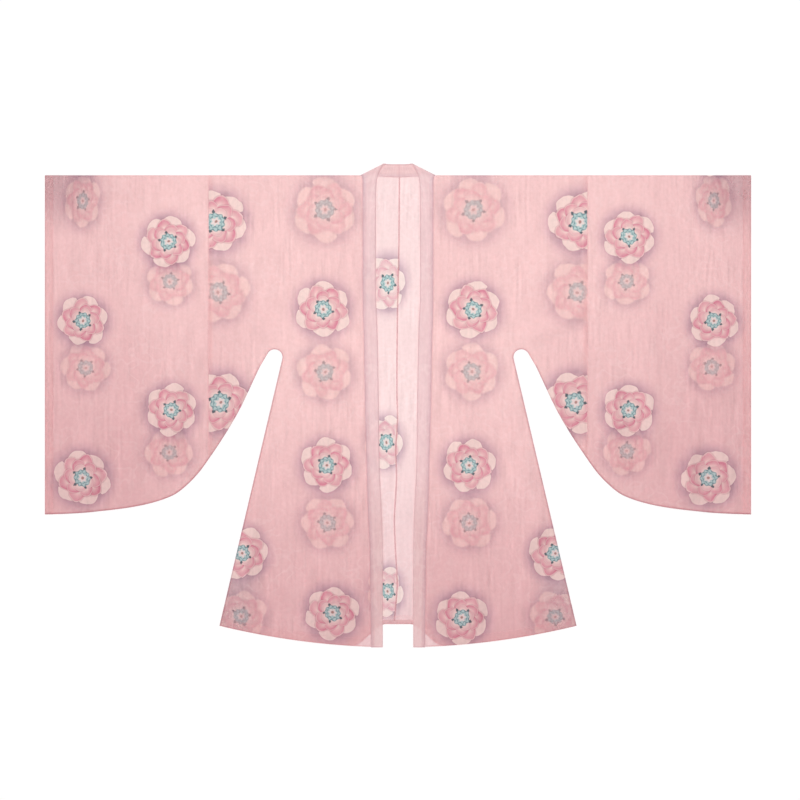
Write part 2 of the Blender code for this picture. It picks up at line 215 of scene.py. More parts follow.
SEAM_EASE = 0.013                # from a sewn edge to where the layers are fully apart
SEAM_GAP = 0.22                  # share of the gap between the layers that is left at a sewn edge

# Printed flowers: piece, then out and run on the right half, out and run on the left half,
# radius, turn in radians, width as a share of the height.  A negative out on the left half lies
# past the centre seam.
FLOWERS = (
    ("sleeve", 0.5855, 0.1690, 0.5885, 0.1566, 0.066, 0.2, 1.0),
    ("sleeve", 0.8033, 0.3712, 0.8051, 0.3710, 0.063, 1.3, 1.0),
    ("sleeve", 0.5770, 0.5985, 0.5876, 0.5992, 0.065, 2.1, 1.0),
    ("sleeve", 0.8048, 0.7722, 0.7913, 0.7719, 0.070, 0.7, 1.0),
    ("sleeve", 0.8040, -0.0656, 0.8056, -0.0651, 0.066, 0.9, 0.7),
    ("sleeve", 0.5815, -0.2706, 0.5827, -0.2711, 0.060, 2.2, 1.0),
    ("sleeve", 0.7964, -0.4909, 0.8002, -0.4894, 0.061, 0.3, 1.0),
    ("sleeve", 0.5837, -0.7072, 0.5830, -0.7026, 0.061, 1.5, 1.0),
    ("body", 0.4651, 0.1190, 0.4641, 0.1191, 0.078, 2.8, 1.0),
    ("body", 0.4539, 0.5799, 0.4514, 0.5781, 0.078, 0.4, 1.0),
    ("body", 0.1907, 0.3417, 0.1915, 0.3422, 0.070, 1.0, 1.0),
    ("body", 0.1813, 0.7389, 0.1805, 0.7402, 0.067, 1.9, 1.0),
    ("body", 0.1666, 1.1159, 0.1624, 1.1287, 0.067, 0.1, 1.0),
    ("body", 0.3980, 0.9639, 0.4005, 0.9654, 0.066, 2.4, 1.0),
    ("body", 0.4577, -0.2978, 0.4585, -0.2978, 0.077, 0.6, 1.0),
    ("body", 0.1862, -0.0873, 0.1926, -0.0885, 0.080, 2.0, 1.0),
    ("body", 0.1862, -0.5023, 0.1874, -0.5016, 0.070, 1.2, 1.0),
    ("body", 0.1805, -0.8864, 0.1821, -0.8864, 0.067, 2.6, 1.0),
    ("body", 0.3996, -1.1243, 0.4006, -1.1261, 0.064, 0.8, 1.0),
    ("body", 0.0255, -0.2755, -0.0408, -0.2728, 0.070, 0.5, 0.84),
    ("body", 0.0290, -0.6805, -0.0432, -0.6832, 0.065, 1.7, 0.84),
    ("body", 0.0262, -1.0611, -0.0416, -1.0611, 0.063, 2.9, 0.84),
)


# ---------------------------------------- settings


def length(name, description, default):
    """A length that the sidebar shows."""
    return bpy.props.FloatProperty(
        name=name, description=description, default=default, min=0.0, unit="LENGTH", precision=4
    )


def share(name, description, default):
    """A share from 0 to 1."""
    return bpy.props.FloatProperty(
        name=name, description=description, default=default, min=0.0, max=1.0, subtype="FACTOR"
    )


def tint(name, description, default):
    """A colour, given as an sRGB hex value and kept as linear light."""
    return bpy.props.FloatVectorProperty(
        name=name, description=description, default=linear(default),
        size=4, min=0.0, max=1.0, subtype="COLOR"
    )


def linear(code):
    """Turn an sRGB hex value into a linear colour with full alpha."""
    parts = [int(code[i:i + 2], 16) / 255 for i in (1, 3, 5)]
    return tuple(v / 12.92 if v <= 0.04045 else ((v + 0.055) / 1.055) ** 2.4 for v in parts) + (1.0,)


class RobeSizes(bpy.types.PropertyGroup):
    """Sizes of the cloth, the hems and the stitches."""

    cloth_step: length("Mesh spacing", "Distance between points over the cloth", 8 * MM)
    cuff_hem: length("Cuff hem", "Depth of the turned hem at the cuff", 21 * MM)
    cuff_turn: length("Cuff turn", "Width of the raw edge turned in under the cuff hem", 9 * MM)
    front_hem: length("Bottom hem", "Depth of the turned hem along the bottom", 22 * MM)
    side_seam: length("Side seam", "Width of the sewn edges inside the side seams", 4.5 * MM)
    sleeve_seam: length("Sleeve seam", "Width of the felled seam of the sleeve", 14 * MM)
    centre_seam: length("Centre back seam", "Width of the sewn edges at the centre back", 3.4 * MM)
    crinkle: length("Crinkle", "Height of the fine crinkles in the cloth", 0.35 * MM)
    hem_crinkle: length("Hem crinkle", "Height of the crinkles near hems and cuffs", 0.8 * MM)
    stitch: length("Stitch", "Length of one stitch", 2.6 * MM)
    stitch_pitch: length("Stitch pitch", "Distance from stitch to stitch", 3.4 * MM)
    thread: length("Thread", "Thickness of the sewing thread", 0.34 * MM)


class RobeColours(bpy.types.PropertyGroup):
    """Colours of the cloth, the print and the thread."""

    ground: tint("Ground", "Colour of the dyed cloth", "#e8bab9")
    # The deep ground is the cloth in painted shade towards hems and cuffs; the sewn edges inside seams
    # take it as their colour too
    ground_deep: tint("Deep ground", "Colour of the cloth towards hems and cuffs", "#cd8e92")
    band: tint("Band", "Colour of the neck band", "#eacdcf")
    cream: tint("Cream", "Outer petals", "#f3d8d1")
    blush: tint("Blush", "Base of the pink petals", "#f1c8c5")
    pink: tint("Pink", "Body of the pink petals", "#e8a9b3")
    deep_pink: tint("Deep pink", "Tips of the pink petals", "#d67f94")
    halo: tint("Halo", "Smoky shade around a flower", "#b0859a")
    teal: tint("Teal", "Outer ring of the rosette", "#afcac9")
    deep_teal: tint("Deep teal", "Inner ring of the rosette", "#6d9297")
    leaf: tint("Leaf", "Leaf tips of the rosette", "#4b5b62")
    core: tint("Core", "Small petals at the middle", "#e9d8d4")
    dot: tint("Dot", "Dot at the middle", "#ab8078")
    thread: tint("Thread", "Sewing thread", "#d28a97")
    floor: tint("Floor", "Floor under the robe", "#e8e7e7")


class RobePrint(bpy.types.PropertyGroup):
    """How dense the cloth and its print are."""

    cover: share("Cover", "How much of the view one layer of cloth blocks", 0.50)
    flower_cover: share("Flower cover", "The same inside a printed flower", 0.90)
    band_cover: share("Band cover", "The same for one wall of the doubled band", 0.62)
    hem_cover: share("Hem cover", "The same for turned hems and felled seams", 0.12)
    seam_cover: share("Seam cover", "The same for the sewn edges inside a seam", 0.36)
    wrong_side: share("Wrong side", "Strength of the print on the inside of the cloth", 0.80)
    scroll: share("Scroll", "Strength of the pale scroll lines", 0.075)


# ---------------------------------------- cut of the cloth


def smooth(value, start, end):
    """Smooth step from 0 at the start to 1 at the end, for numbers or arrays."""
    t = np.clip((value - start) / (end - start), 0.0, 1.0)
    return t * t * (3 - 2 * t)


def cubic(start, end, leave, arrive, t):
    """Value at t, from 0 to 1, on the cubic curve between two values with their slopes."""
    bend = t * t * (3 - 2 * t)
    return start + (end - start) * bend + leave * t * (1 - t) ** 2 - arrive * t * t * (1 - t)


def curve_value(table, place, column=1):
    """Value of a table's column at a place in its first column, on a smooth curve."""
    rows = np.array(sorted(table))
    x = rows[:, 0]
    y = rows[:, column]
    slope = np.gradient(y) / np.gradient(x)
    place = min(max(place, x[0]), x[-1])
    i = max(np.searchsorted(x, place) - 1, 0)
    width = x[i + 1] - x[i]
    return float(cubic(y[i], y[i + 1], slope[i] * width, slope[i + 1] * width, (place - x[i]) / width))


def spaced(start, end, step=None):
    """Evenly spaced numbers from start up to, but without, end, at the mesh spacing or a step."""
    count = max(1, round(abs(end - start) / (step or bpy.context.scene.robe_sizes.cloth_step)))
    return [start + (end - start) * i / count for i in range(count)]


def traced(run_of, start, end, step=None):
    """Spaced places along an edge that has one run for each out."""
    return [(out, run_of(out)) for out in spaced(start, end, step)]


def sleeve_run(out):
    """Depth of the sleeve's lower edge."""
    return curve_value(SLEEVE_EDGE, out)


def front_hem_run(out):
    """The front hem is a shallow bow that rises to the side seam."""
    return FRONT_LENGTH - (FRONT_LENGTH - HEM_CORNER_RUN) * (out / HEM_CORNER_OUT) ** 2


def back_hem_run(out):
    """The back hem follows the front hem and rises at the centre.  Its runs are negative."""
    far = smooth(out, BACK_HEM_FLAT, BACK_HEM_END)
    return BACK_HEM_RISE * (1 - float(far)) - front_hem_run(out)


def band_seam_out(run):
    """Seam between the front and the band, beside the neck too."""
    beside_neck = [(row[1], row[0]) for row in NECK_FRONT]
    return curve_value([TURN_SEAM[::-1]] + beside_neck + [row[:2] for row in BAND_RUNS], run)


def centre_out(side, down):
    """The centre seam as seen from one half, at a distance down the back."""
    return side * curve_value(CENTRE_SEAM, down)


def tangent_angle(point, turn):
    """Angle on the armpit's round where a straight line from a point touches it."""
    across = point[0] - ARMPIT_OUT
    along = point[1] - ARMPIT_RUN
    return atan2(along, across) + turn * acos(ARMPIT_RADIUS / hypot(across, along))


def under_edge(step=None):
    """Sewn edge of the body half, from the sleeve seam under the arm to the hem corner."""
    inner_end = SLEEVE_EDGE[-1]
    edge = traced(sleeve_run, SEAM_OUT, inner_end[0], step) + [inner_end]
    first = tangent_angle(inner_end, -1)
    last = tangent_angle(HEM_CORNER, 1) - 2 * pi
    for angle in np.linspace(first, last, ARMPIT_POINTS):
        out = ARMPIT_OUT + ARMPIT_RADIUS * cos(angle)
        edge.append((out, ARMPIT_RUN + ARMPIT_RADIUS * sin(angle)))
    leave = np.array(edge[-1])
    slant = (HEM_CORNER - leave) / (HEM_CORNER_RUN - leave[1])
    runs = spaced(leave[1], HEM_CORNER_RUN, step)[1:]
    return edge + [tuple(leave + slant * (run - leave[1])) for run in runs] + [HEM_CORNER]


def fold_rows():
    """Runs of the seven rows of points over the shoulder fold, front to back."""
    return [FOLD_RUN * (1 - i / 3) for i in range(7)]


def over_shoulder(down):
    """Runs from a lower edge behind, over the shoulder, to the same edge in front."""
    front = spaced(down, FOLD_RUN)
    return [-run for run in front] + fold_rows()[::-1] + front[::-1]


def body_outline(side, tuck):
    """Outline of one body half before folding.  Its front edge is tucked into the band."""
    neckline = -NECK_DEPTH
    outline = [(out, neckline) for out in spaced(centre_out(side, 0.0), NECK_OUT)]
    outline += [(NECK_OUT, neckline)] + [(NECK_OUT, run) for run in fold_rows()[::-1] if run > neckline]
    hem_out = band_seam_out(FRONT_LENGTH) - tuck
    for run in spaced(FOLD_RUN, front_hem_run(hem_out))[1:]:
        outline.append((band_seam_out(run) - tuck * float(smooth(run, 0, TUCK_EASE)), run))
    outline += traced(front_hem_run, hem_out, HEM_CORNER_OUT)
    side_edge = under_edge()
    seam = over_shoulder(side_edge[0][1])[-2:0:-1]
    outline += side_edge[::-1] + [(SEAM_OUT, run) for run in seam]
    outline += [(out, -run) for out, run in side_edge]
    outline += traced(back_hem_run, HEM_CORNER_OUT, centre_out(side, BACK_LENGTH))[1:]
    return outline + [(centre_out(side, down), -down) for down in spaced(BACK_LENGTH, NECK_DEPTH)]


def sleeve_outline():
    """Outline of the piece that lengthens the sleeve, before folding."""
    lower = traced(sleeve_run, SEAM_OUT, HALF_SPAN)
    cuff = over_shoulder(sleeve_run(HALF_SPAN))[::-1]
    outline = [(SEAM_OUT, run) for run in over_shoulder(sleeve_run(SEAM_OUT))] + lower[1:]
    outline += [(HALF_SPAN, run) for run in cuff]
    return outline + [(out, -run) for out, run in lower[:0:-1]]


def outline_of(kind, side, tuck=0.0):
    """Outline of a body half or a sleeve piece."""
    return body_outline(side, tuck) if kind == "body" else sleeve_outline()


def gaps_to(edge, places):
    """Distances from flat places to the nearest points of an edge."""
    tree = kdtree.KDTree(len(edge))
    for i, (out, run) in enumerate(edge):
        tree.insert((out, run, 0.0), i)
    tree.balance()
    return np.array([tree.find((out, run, 0.0))[2] for out, run in places])


def inside(points, outline):
    """Which of an array of points lie inside an outline."""
    found = np.zeros(len(points), dtype=bool)
    for (x0, y0), (x1, y1) in zip(outline, outline[1:] + outline[:1]):
        if y0 != y1:
            crosses = (points[:, 1] < y0) != (points[:, 1] < y1)
            found ^= crosses & (points[:, 0] < x0 + (points[:, 1] - y0) * (x1 - x0) / (y1 - y0))
    return found


def cloth_points(outline):
    """Points inside an outline: staggered rows, and rows across the shoulder fold."""
    step = bpy.context.scene.robe_sizes.cloth_step
    least = np.min(outline, axis=0)
    most = np.max(outline, axis=0)
    lattice = np.array([
        (out + step / 2 * (i % 2), run)
        for i, run in enumerate(np.arange(least[1], most[1], step * ROW_PITCH))
        for out in np.arange(least[0], most[0], step)
        if abs(run) > FOLD_RUN + step * FOLD_CLEAR
    ])
    lattice = lattice[inside(lattice, outline)]
    lattice = lattice[gaps_to(outline, lattice) > step * EDGE_CLEAR]
    folded = [out for out, run in outline if abs(run) < FOLD_RUN * 0.9]
    outs = spaced(min(folded), max(folded))[1:]
    return [tuple(point) for point in lattice] + [(out, run) for out in outs for run in fold_rows()]


# ---------------------------------------- lie of the cloth


def fold_height(side, out, run, from_edge):
    """Rise of the front over the soft folds, for arrays of places."""
    height = np.zeros(len(out))
    for fold_side, out0, run0, out1, run1, half_width, peak in FOLDS:
        if fold_side == side:
            size = hypot(out1 - out0, run1 - run0)
            ahead = ((out - out0) * (out1 - out0) + (run - run0) * (run1 - run0)) / size
            across = np.abs((out - out0) * (run1 - run0) - (run - run0) * (out1 - out0)) / size
            ends = smooth(ahead, -FOLD_EASE, 0) * smooth(ahead, size + FOLD_EASE, size)
            height += peak * ends * smooth(across, 2 * half_width, 0)
    return height * smooth(from_edge, 0, EDGE_EASE)


def crinkle_height(side, out, down, run):
    """Fine upright crinkles, deeper towards the cuffs and the hems."""
    sizes = bpy.context.scene.robe_sizes
    heights = np.empty(len(out))
    for i, (x, y) in enumerate(zip(out * side / CRINKLE_WIDTH, run / CRINKLE_LENGTH)):
        finer = noise.noise(Vector((x * 2.3, y * 2.0, 9.0)))
        heights[i] = noise.noise(Vector((x, y, 3.0))) + 0.5 * finer
    low_sleeve = smooth(down, 0.45, 0.85) * (out > SEAM_OUT - 0.15)
    cuff = smooth(out, 0.70, 0.90)
    low_body = smooth(down, 0.85, 1.15)
    falloff_shade = np.maximum.reduce([low_sleeve, cuff, low_body])
    return heights * (sizes.crinkle + (sizes.hem_crinkle - sizes.crinkle) * falloff_shade)


# Places where front and back are sewn together: down the side, under the arm and under the sleeve
SEWN_EDGES = under_edge(SEWN_STEP) + traced(sleeve_run, SEAM_OUT, HALF_SPAN, SEWN_STEP)


def lay(side, places, outline, inset=0.0):
    """Fold flat places over the shoulder and lay them down.  inset goes towards the inside.

    Front and back come together at the edges where they are sewn.
    """
    out, run = places.T
    down = np.abs(run)
    apart = smooth(gaps_to(SEWN_EDGES, np.abs(places)), 1 * MM, SEAM_EASE)
    apart = SEAM_GAP + (1 - SEAM_GAP) * apart

    # Crinkles fade out at the shoulder fold and are lower at the edges and behind
    from_edge = gaps_to(outline, places)
    calm = smooth(down, FOLD_RUN, FOLD_RUN + 0.020) * (0.35 + 0.65 * smooth(from_edge, 0, 0.012))
    bumps = crinkle_height(side, out, down, run) * calm
    rise = fold_height(side, out, run, from_edge)
    front = FOLD_Z + apart * (FRONT_Z - FOLD_Z + bumps - inset) + rise
    back = FOLD_Z + apart * (BACK_Z - FOLD_Z + bumps * 0.3 + inset)
    angle = np.clip(run / FOLD_RUN, -1.0, 1.0) * pi / 2
    radius = FOLD_RADIUS - inset
    flat = down > FOLD_RUN
    y = np.where(flat, FOLD_Y + FOLD_RUN - down, FOLD_Y + radius * np.cos(angle))
    z = np.where(flat, np.where(run > 0, front, back), FOLD_Z + radius * np.sin(angle))
    return np.stack([side * out, y, z], axis=1)


# ---------------------------------------- mesh making


def make_piece(name, spots, faces, materials, face_slots=None):
    """A mesh object at the origin, smooth shaded."""
    if not faces:
        raise RuntimeError("nothing to make of " + name)
    mesh = bpy.data.meshes.new(name)
    mesh.from_pydata([tuple(spot) for spot in spots], [], faces)
    for material in materials:
        mesh.materials.append(robe_material(material))
    if face_slots is not None:
        mesh.polygons.foreach_set("material_index", face_slots)
    mesh.shade_smooth()
    mesh.update()
    piece = bpy.data.objects.new(name, mesh)
    bpy.context.scene.collection.objects.link(piece)
    return piece


def corner_places(piece, places):
    """The place of every corner of every face, from the places of the points."""
    loops = np.empty(len(piece.data.loops), dtype=np.int32)
    piece.data.loops.foreach_get("vertex_index", loops)
    return np.asarray(places)[loops]


def add_map(piece, name, corners):
    """UV map from the place of every corner."""
    layer = piece.data.uv_layers.new(name=name)
    layer.data.foreach_set("uv", corners.astype(np.float32).ravel())


def add_cloth_map(piece, places):
    """UV map of the unfolded cloth in metres, which the weave and the crinkles follow."""
    add_map(piece, "cloth", corner_places(piece, places))


def add_seam_map(piece, places):
    """Each point's distance from the nearest sewn edge, in metres, up to a limit."""
    limit = 50 * MM
    layer = piece.data.attributes.new("sewn", "FLOAT", "POINT")
    layer.data.foreach_set("value", np.minimum(gaps_to(SEWN_EDGES, np.abs(places)), limit))


def add_flower_map(piece, places, kind, side):
    """UV map with each face's place in its nearest flower, in flower radii from its middle.

    Places are complex numbers here, so that a turn is a product.
    """
    columns = np.array([row[1:] for row in FLOWERS if row[0] == kind]).T
    middles = columns[2] + 1j * columns[3] if side > 0 else columns[0] + 1j * columns[1]
    radii, turns, widths = columns[4:]
    corners = corner_places(piece, places) @ np.array([1, 1j])
    gaps = np.abs(corners.reshape(-1, 3).mean(axis=1)[:, None] - middles)
    nearest = np.repeat(np.argmin(gaps / radii, axis=1), 3)
    local = (corners - middles[nearest]) / radii[nearest]
    local = local.real * side / widths[nearest] + 1j * local.imag
    local *= np.exp(1j * turns[nearest] * side)
    add_map(piece, "flower", np.stack([local.real, local.imag], axis=1))


def dress(piece, slot, *nodes):
    """Ride on the robe's one body and stand for the nodes.  The finish slot is not used.

    Chiffon scatters nearly all the light that it lets through, so what lies under it stays as
    bright as if it were uncovered.  Its layers therefore throw no shadows on each other.
    """
    piece.visible_shadow = False
    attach(piece, "root")
    if nodes:
        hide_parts(*nodes)


def grid_faces(rows, columns, flipped):
    """Faces between the rows of a grid of points, flipped where they would look inwards."""
    corners = [row * columns + i for row in range(rows - 1) for i in range(columns - 1)]
    faces = [(k, k + 1, k + columns + 1, k + columns) for k in corners]
    return [face[::-1] for face in faces] if flipped else faces


def cut_cloth(name, kind, side, outline):
    """One piece of cloth, cut to its outline, folded over the shoulder and laid down."""
    flat = [Vector(point) for point in outline + cloth_points(outline)]
    keep_inside = 1
    closeness = 1e-7
    ring = list(range(len(outline)))
    spots, _, faces, *_ = delaunay_2d_cdt(flat, [], [ring], keep_inside, closeness)
    places = np.array([tuple(spot) for spot in spots])

    # Laying the left half down mirrors its faces, so they are turned to look outwards again
    faces = [tuple(face[::-side]) for face in faces]
    behind = places[np.array(faces), 1].mean(axis=1) < 0
    materials = ["printed_chiffon_right_side", "printed_chiffon_wrong_side"]
    piece = make_piece(name, lay(side, places, outline), faces, materials, behind.astype(np.int32))
    add_cloth_map(piece, places * np.array([side, 1.0]))
    add_flower_map(piece, places, kind, side)
    add_seam_map(piece, places)
    return piece


def unit(directions):
    """Directions with a length of one."""
    return directions / np.linalg.norm(directions, axis=1, keepdims=True)


def sew_strips(kind, hand, side, hems, seams):
    """The turned hems and the sewn edges inside one piece of cloth, as one object.

    Each row gives a strip's path along an edge, the side of the path that it lies on (1 is to its
    left), its width, and how far it is set in from the cloth, except at the edge itself, where the
    two meet.  "cut" at the end cuts the strip off at the sleeve's lower edge, and "level" lays it
    straight across.
    """
    outline = outline_of(kind, side)
    columns = 5
    spots = []
    faces = []
    places = []
    slots = []
    for number, (path, turn, width, inset, *marks) in enumerate(hems + seams):
        path = np.array(path)
        along = np.gradient(path, axis=0)
        if "level" in marks:
            along[:, 0] = 0.0
        sideways = unit(along)[:, ::-1] * np.array([-turn, turn])
        reach = np.linspace(0.0, width, columns)[:, None]
        flat = (path[:, None] + sideways[:, None] * reach).reshape(-1, 2)
        if "cut" in marks:
            limits = np.array([sleeve_run(out) for out in flat[:, 0]]) - 0.5 * MM
            flat[:, 1] = np.clip(flat[:, 1], -limits, limits)
        strip = grid_faces(len(path), columns, turn != side)
        faces += [tuple(corner + len(spots) for corner in face) for face in strip]
        spots += list(lay(side, flat, outline, np.tile(reach[:, 0] > 0, len(path)) * inset))
        places += list(flat * np.array([side, 1.0]))
        slots += [int(number >= len(hems))] * len(strip)
    piece = make_piece(kind + "_hems_" + hand, spots, faces, ["hem_chiffon", "seam_chiffon"], slots)
    add_cloth_map(piece, places)
    dress(piece, "printed_chiffon")


# One raised stitch: places along it, across it and out of the cloth, in half lengths and half
# thicknesses, from one end over three rings of three points to the other end
STITCH = np.array(
    [(-1, 0, -1)]
    + [(along, across * swell, out * swell)
       for along, swell in ((-0.77, 0.8), (0.0, 1.0), (0.77, 0.8))
       for across, out in ((1, 0), (0, 1), (-1, 0))]
    + [(1, 0, -1)]
)
STITCH_FACES = (
    (0, 1, 2), (0, 2, 3), (1, 4, 5, 2), (2, 5, 6, 3), (4, 7, 8, 5), (5, 8, 9, 6), (10, 8, 7), (10, 9, 8)
)


def stitch_line(side, path, outline):
    """Places of stitches along a flat path on the outside of the cloth, and their two directions."""
    pitch = bpy.context.scene.robe_sizes.stitch_pitch
    path = np.array(path)
    lengths = np.append(0.0, np.cumsum(np.hypot(*np.diff(path, axis=0).T)))
    marks = np.arange(pitch, lengths[-1] - pitch / 2, pitch)
    here, ahead = [
        np.stack([np.interp(distances, lengths, column) for column in path.T], axis=1)
        for distances in (marks, marks + 0.6 * MM)
    ]
    aside = here + (ahead - here)[:, ::-1] * np.array([1.0, -1.0])
    here, ahead, aside = [lay(side, places, outline) for places in (here, ahead, aside)]
    along = unit(ahead - here)
    outward = unit(np.cross(aside - here, along))
    inside_out = outward[:, 2] * (here[:, 2] - FOLD_Z) < 0
    return here, along, np.where(inside_out[:, None], -outward, outward)


def raise_stitches(name, lines):
    """Lines of small raised stitches as one object."""
    sizes = bpy.context.scene.robe_sizes
    here, along, outward = [np.concatenate(parts) for parts in zip(*lines)]
    square = unit(np.cross(along, outward))
    axes = np.stack([along * sizes.stitch, square * sizes.thread, outward * sizes.thread], axis=1)
    spots = here[:, None] + STITCH @ axes / 2
    faces = [
        tuple(corner + first for corner in face)
        for first in range(0, len(here) * len(STITCH), len(STITCH))
        for face in STITCH_FACES
    ]
    return make_piece(name, spots.reshape(-1, 3), faces, ["polyester_thread"])


# ---------------------------------------- materials


# The setting that holds the mode, for the kinds of node that have one
MODES = {
    "Math": "operation",
    "VectorMath": "operation",
    "MixRGB": "blend_type",
    "MapRange": "interpolation_type",
}

# A smooth step between two values, and a colour that is multiplied by a shade
EASED = "MapRange SMOOTHSTEP"
SHADE = "MixRGB MULTIPLY"

# Shades that multiply a colour, from the palest to the deepest
# Painted highlight on the pleats behind the neck
PLEAT_HIGHLIGHT = linear("#fff9f8")
TURNED_EDGE = linear("#f7f8fc")
NECK_JOINT = linear("#f8f3f5")
# Painted shade in the pleats behind the neck
PLEAT_SHADE = linear("#f8e7e5")
# Painted shade towards the band's lower end, with random mottle
BAND_SHADE_AND_MOTTLE = linear("#f2e8e7")
# Painted shade of the crinkles in hems and seam edges
HEM_CRINKLE_SHADE = linear("#e7e5ec")
BAND_EDGE = linear("#ecdfe2")
# Painted shade over the print towards hems and cuffs
SHADED_PRINT = linear("#e8dfe2")
# Painted grey shade at the cuff tops and the low side corners
SMOKY_SHADE = linear("#dee2e8")
SEWN_LINE = linear("#dfd7df")
BESIDE_PETALS = linear("#ddd4dd")
UNDER_PETALS = linear("#d4b8c2")

# Pale colours that a colour is mixed with
SCROLL = linear("#ffefec")
BAND_SCROLL = linear("#fff3f1")
FADED_PETALS = linear("#fdfcf8")
WHITE = linear("#ffffff")


def add_node(tree, kind, *values, **settings):
    """Add a node, its settings and its links.

    The kind may be followed by a mode, as in "MixRGB MULTIPLY", a mode alone is a Math node's, and
    a node that is there already may stand for the kind.  values fill the inputs in order, and None
    leaves one as it is.
    """
    made = kind
    if isinstance(kind, str):
        kind, _, mode = ("Math " + kind if kind.isupper() else kind).partition(" ")
        made = tree.nodes.new("ShaderNode" + kind)
        if mode:
            settings[MODES[kind]] = mode
    for name, value in settings.items():
        setattr(made, name, value)
    for socket, value in zip(made.inputs, values):
        if isinstance(value, bpy.types.Node):
            value = value.outputs[0]
        if isinstance(value, bpy.types.NodeSocket):
            tree.links.new(value, socket)
        elif value is not None:
            socket.default_value = value
    return made


def new_material(name, roughness, sheen):
    """A material, its lone Principled shader, and add_node for its tree."""
    material = bpy.data.materials.new(name)
    material.use_nodes = True
    tree = material.node_tree
    shader = tree.nodes["Principled BSDF"]
    finish = {
        "Roughness": roughness,
        "Metallic": 0.0,
        "IOR": 1.46,
        "Specular IOR Level": 0.25,
        "Sheen Weight": sheen,
        "Sheen Roughness": 0.5,
    }
    for socket, value in finish.items():
        shader.inputs[socket].default_value = value
    return material, shader, partial(add_node, tree)


def cloth_place(add):
    """Distances from the centre line and from the shoulder fold on the unfolded cloth, in metres."""
    place = add("SeparateXYZ", add("UVMap", uv_map="cloth"))
    return [add("ABSOLUTE", axis) for axis in place.outputs[:2]]


def cloth_mottle(add, across, along, detail=1.0, roughness=0.5):
    """Uneven tone on the unfolded cloth, with grains as wide and as long as the given sizes."""
    place = add("VectorMath MULTIPLY", add("UVMap", uv_map="cloth"), (1 / across, 1 / along, 1.0))
    return add("TexNoise", place, None, 1.0, detail, roughness)


def crinkle_shade(add):
    """Fine upright streaks of crushed cloth, from 0 to 1."""
    streak = cloth_mottle(add, 7 * MM, 90 * MM, 3.0, 0.55)
    patchy = add("MapRange", cloth_mottle(add, 90 * MM, 160 * MM, 2.0), 0.35, 0.65, 0.55, 1.5)
    return add("MULTIPLY_ADD", add("SUBTRACT", streak, 0.5), patchy, 0.5)


def painted_crinkle_shade_and_flecks(add, streaks, dark, light, fleck_length, fleck):
    """Painted light and shade of the crinkles, partly also denser cloth where it crumples, with flecks
    of uneven yarn, drawn coarser than real ones.
    """
    flecks = cloth_mottle(add, 9 * MM, fleck_length, 2.0, 0.6)
    flecks = add("MapRange", flecks, 0.3, 0.7, -fleck, fleck)
    return add("ADD", add("MapRange", streaks, 0.2, 0.8, dark, light), flecks)


def crepe_bump(add, streaks):
    """Crinkles and the pebbled crepe weave, drawn as coarse as it needs to be to show."""
    crepe = cloth_mottle(add, 1.6 * MM, 1.6 * MM, 2.0, 0.6)
    return add("Bump", 0.35, 0.7 * MM, None, add("MULTIPLY_ADD", crepe, 0.12, streaks))


def painted_falloff(add, out, run):
    """Painted shade, from 0 to 1: how much darker the cloth grows towards hems and cuffs, and how much
    greyer.
    """
    # Down the body, and down and along the sleeve
    body = add(EASED, run, 0.42, 1.28)
    sleeve = add("ADD", add(EASED, run, 0.08, 0.88, 0.0, 0.67), add(EASED, out, 0.54, 0.72, 0.0, 0.22))
    sleeve = add("ADD", sleeve, add(EASED, out, 0.78, 0.88, 0.0, 0.08))
    falloff_shade = add("MixRGB", add(EASED, out, 0.30, 0.46), body, sleeve)

    # Painted shade: darker and greyer where the cuff meets the shoulder, and greyer at the low side
    # corner
    cuff_top = add("MULTIPLY", add(EASED, out, 0.71, 0.86), add(EASED, run, 0.03, 0.18, 1.0, 0.0))
    falloff_shade = add("MULTIPLY_ADD", cuff_top, 0.70, falloff_shade)
    low_side = add("MULTIPLY", add(EASED, out, 0.33, 0.41), add(EASED, run, 0.90, 1.02))
    smoky_shade = add("MULTIPLY_ADD", cuff_top, 0.75, low_side)
    # Uneven tone at random over the cloth, added to the painted shade
    uneven = add("MapRange", cloth_mottle(add, 160 * MM, 220 * MM, 2.0), 0.3, 0.7, -0.08, 0.10)
    return add("ADD", falloff_shade, uneven, use_clamp=True), smoky_shade


def scroll_lines(add, strength):
    """Soft pale curls woven tone on tone into the cloth, in patches, from 0 to the strength."""
    off = add("ABSOLUTE", add("SUBTRACT", cloth_mottle(add, 34 * MM, 34 * MM), 0.5))
    patch = add(EASED, cloth_mottle(add, 150 * MM, 150 * MM), 0.42, 0.62, 0.25 * strength, strength)
    return add("MULTIPLY", add(EASED, off, 0.010, 0.070, 1.0, 0.0), patch)


# Rings of petals from the outside in: count, phase, reach of the tips, drop at the sides,
# roundness, colour at the base, in the middle and at the rim, strength of the rim colour
PETALS = (
    (6, 0.00, 1.03, 0.19, 1.75, "pink", "cream", "blush", 0.30),
    (6, 0.46, 0.90, 0.30, 1.42, "cream", "blush", "deep_pink", 0.98),
    (6, 0.02, 0.70, 0.24, 1.55, "cream", "blush", "deep_pink", 0.90),
    (5, 0.58, 0.51, 0.22, 1.70, "cream", "cream", "deep_pink", 0.46),
)

# Rings of the rosette: lobes, depth of the lobes, radius, colour
ROSETTE = (
    (10, 0.014, 0.308, "deep_teal"),
    (10, 0.036, 0.270, "teal"),
    (8, 0.012, 0.216, "deep_teal"),
    (8, 0.026, 0.186, "teal"),
    (6, 0.026, 0.138, "core"),
    (1, 0.000, 0.052, "dot"),
)


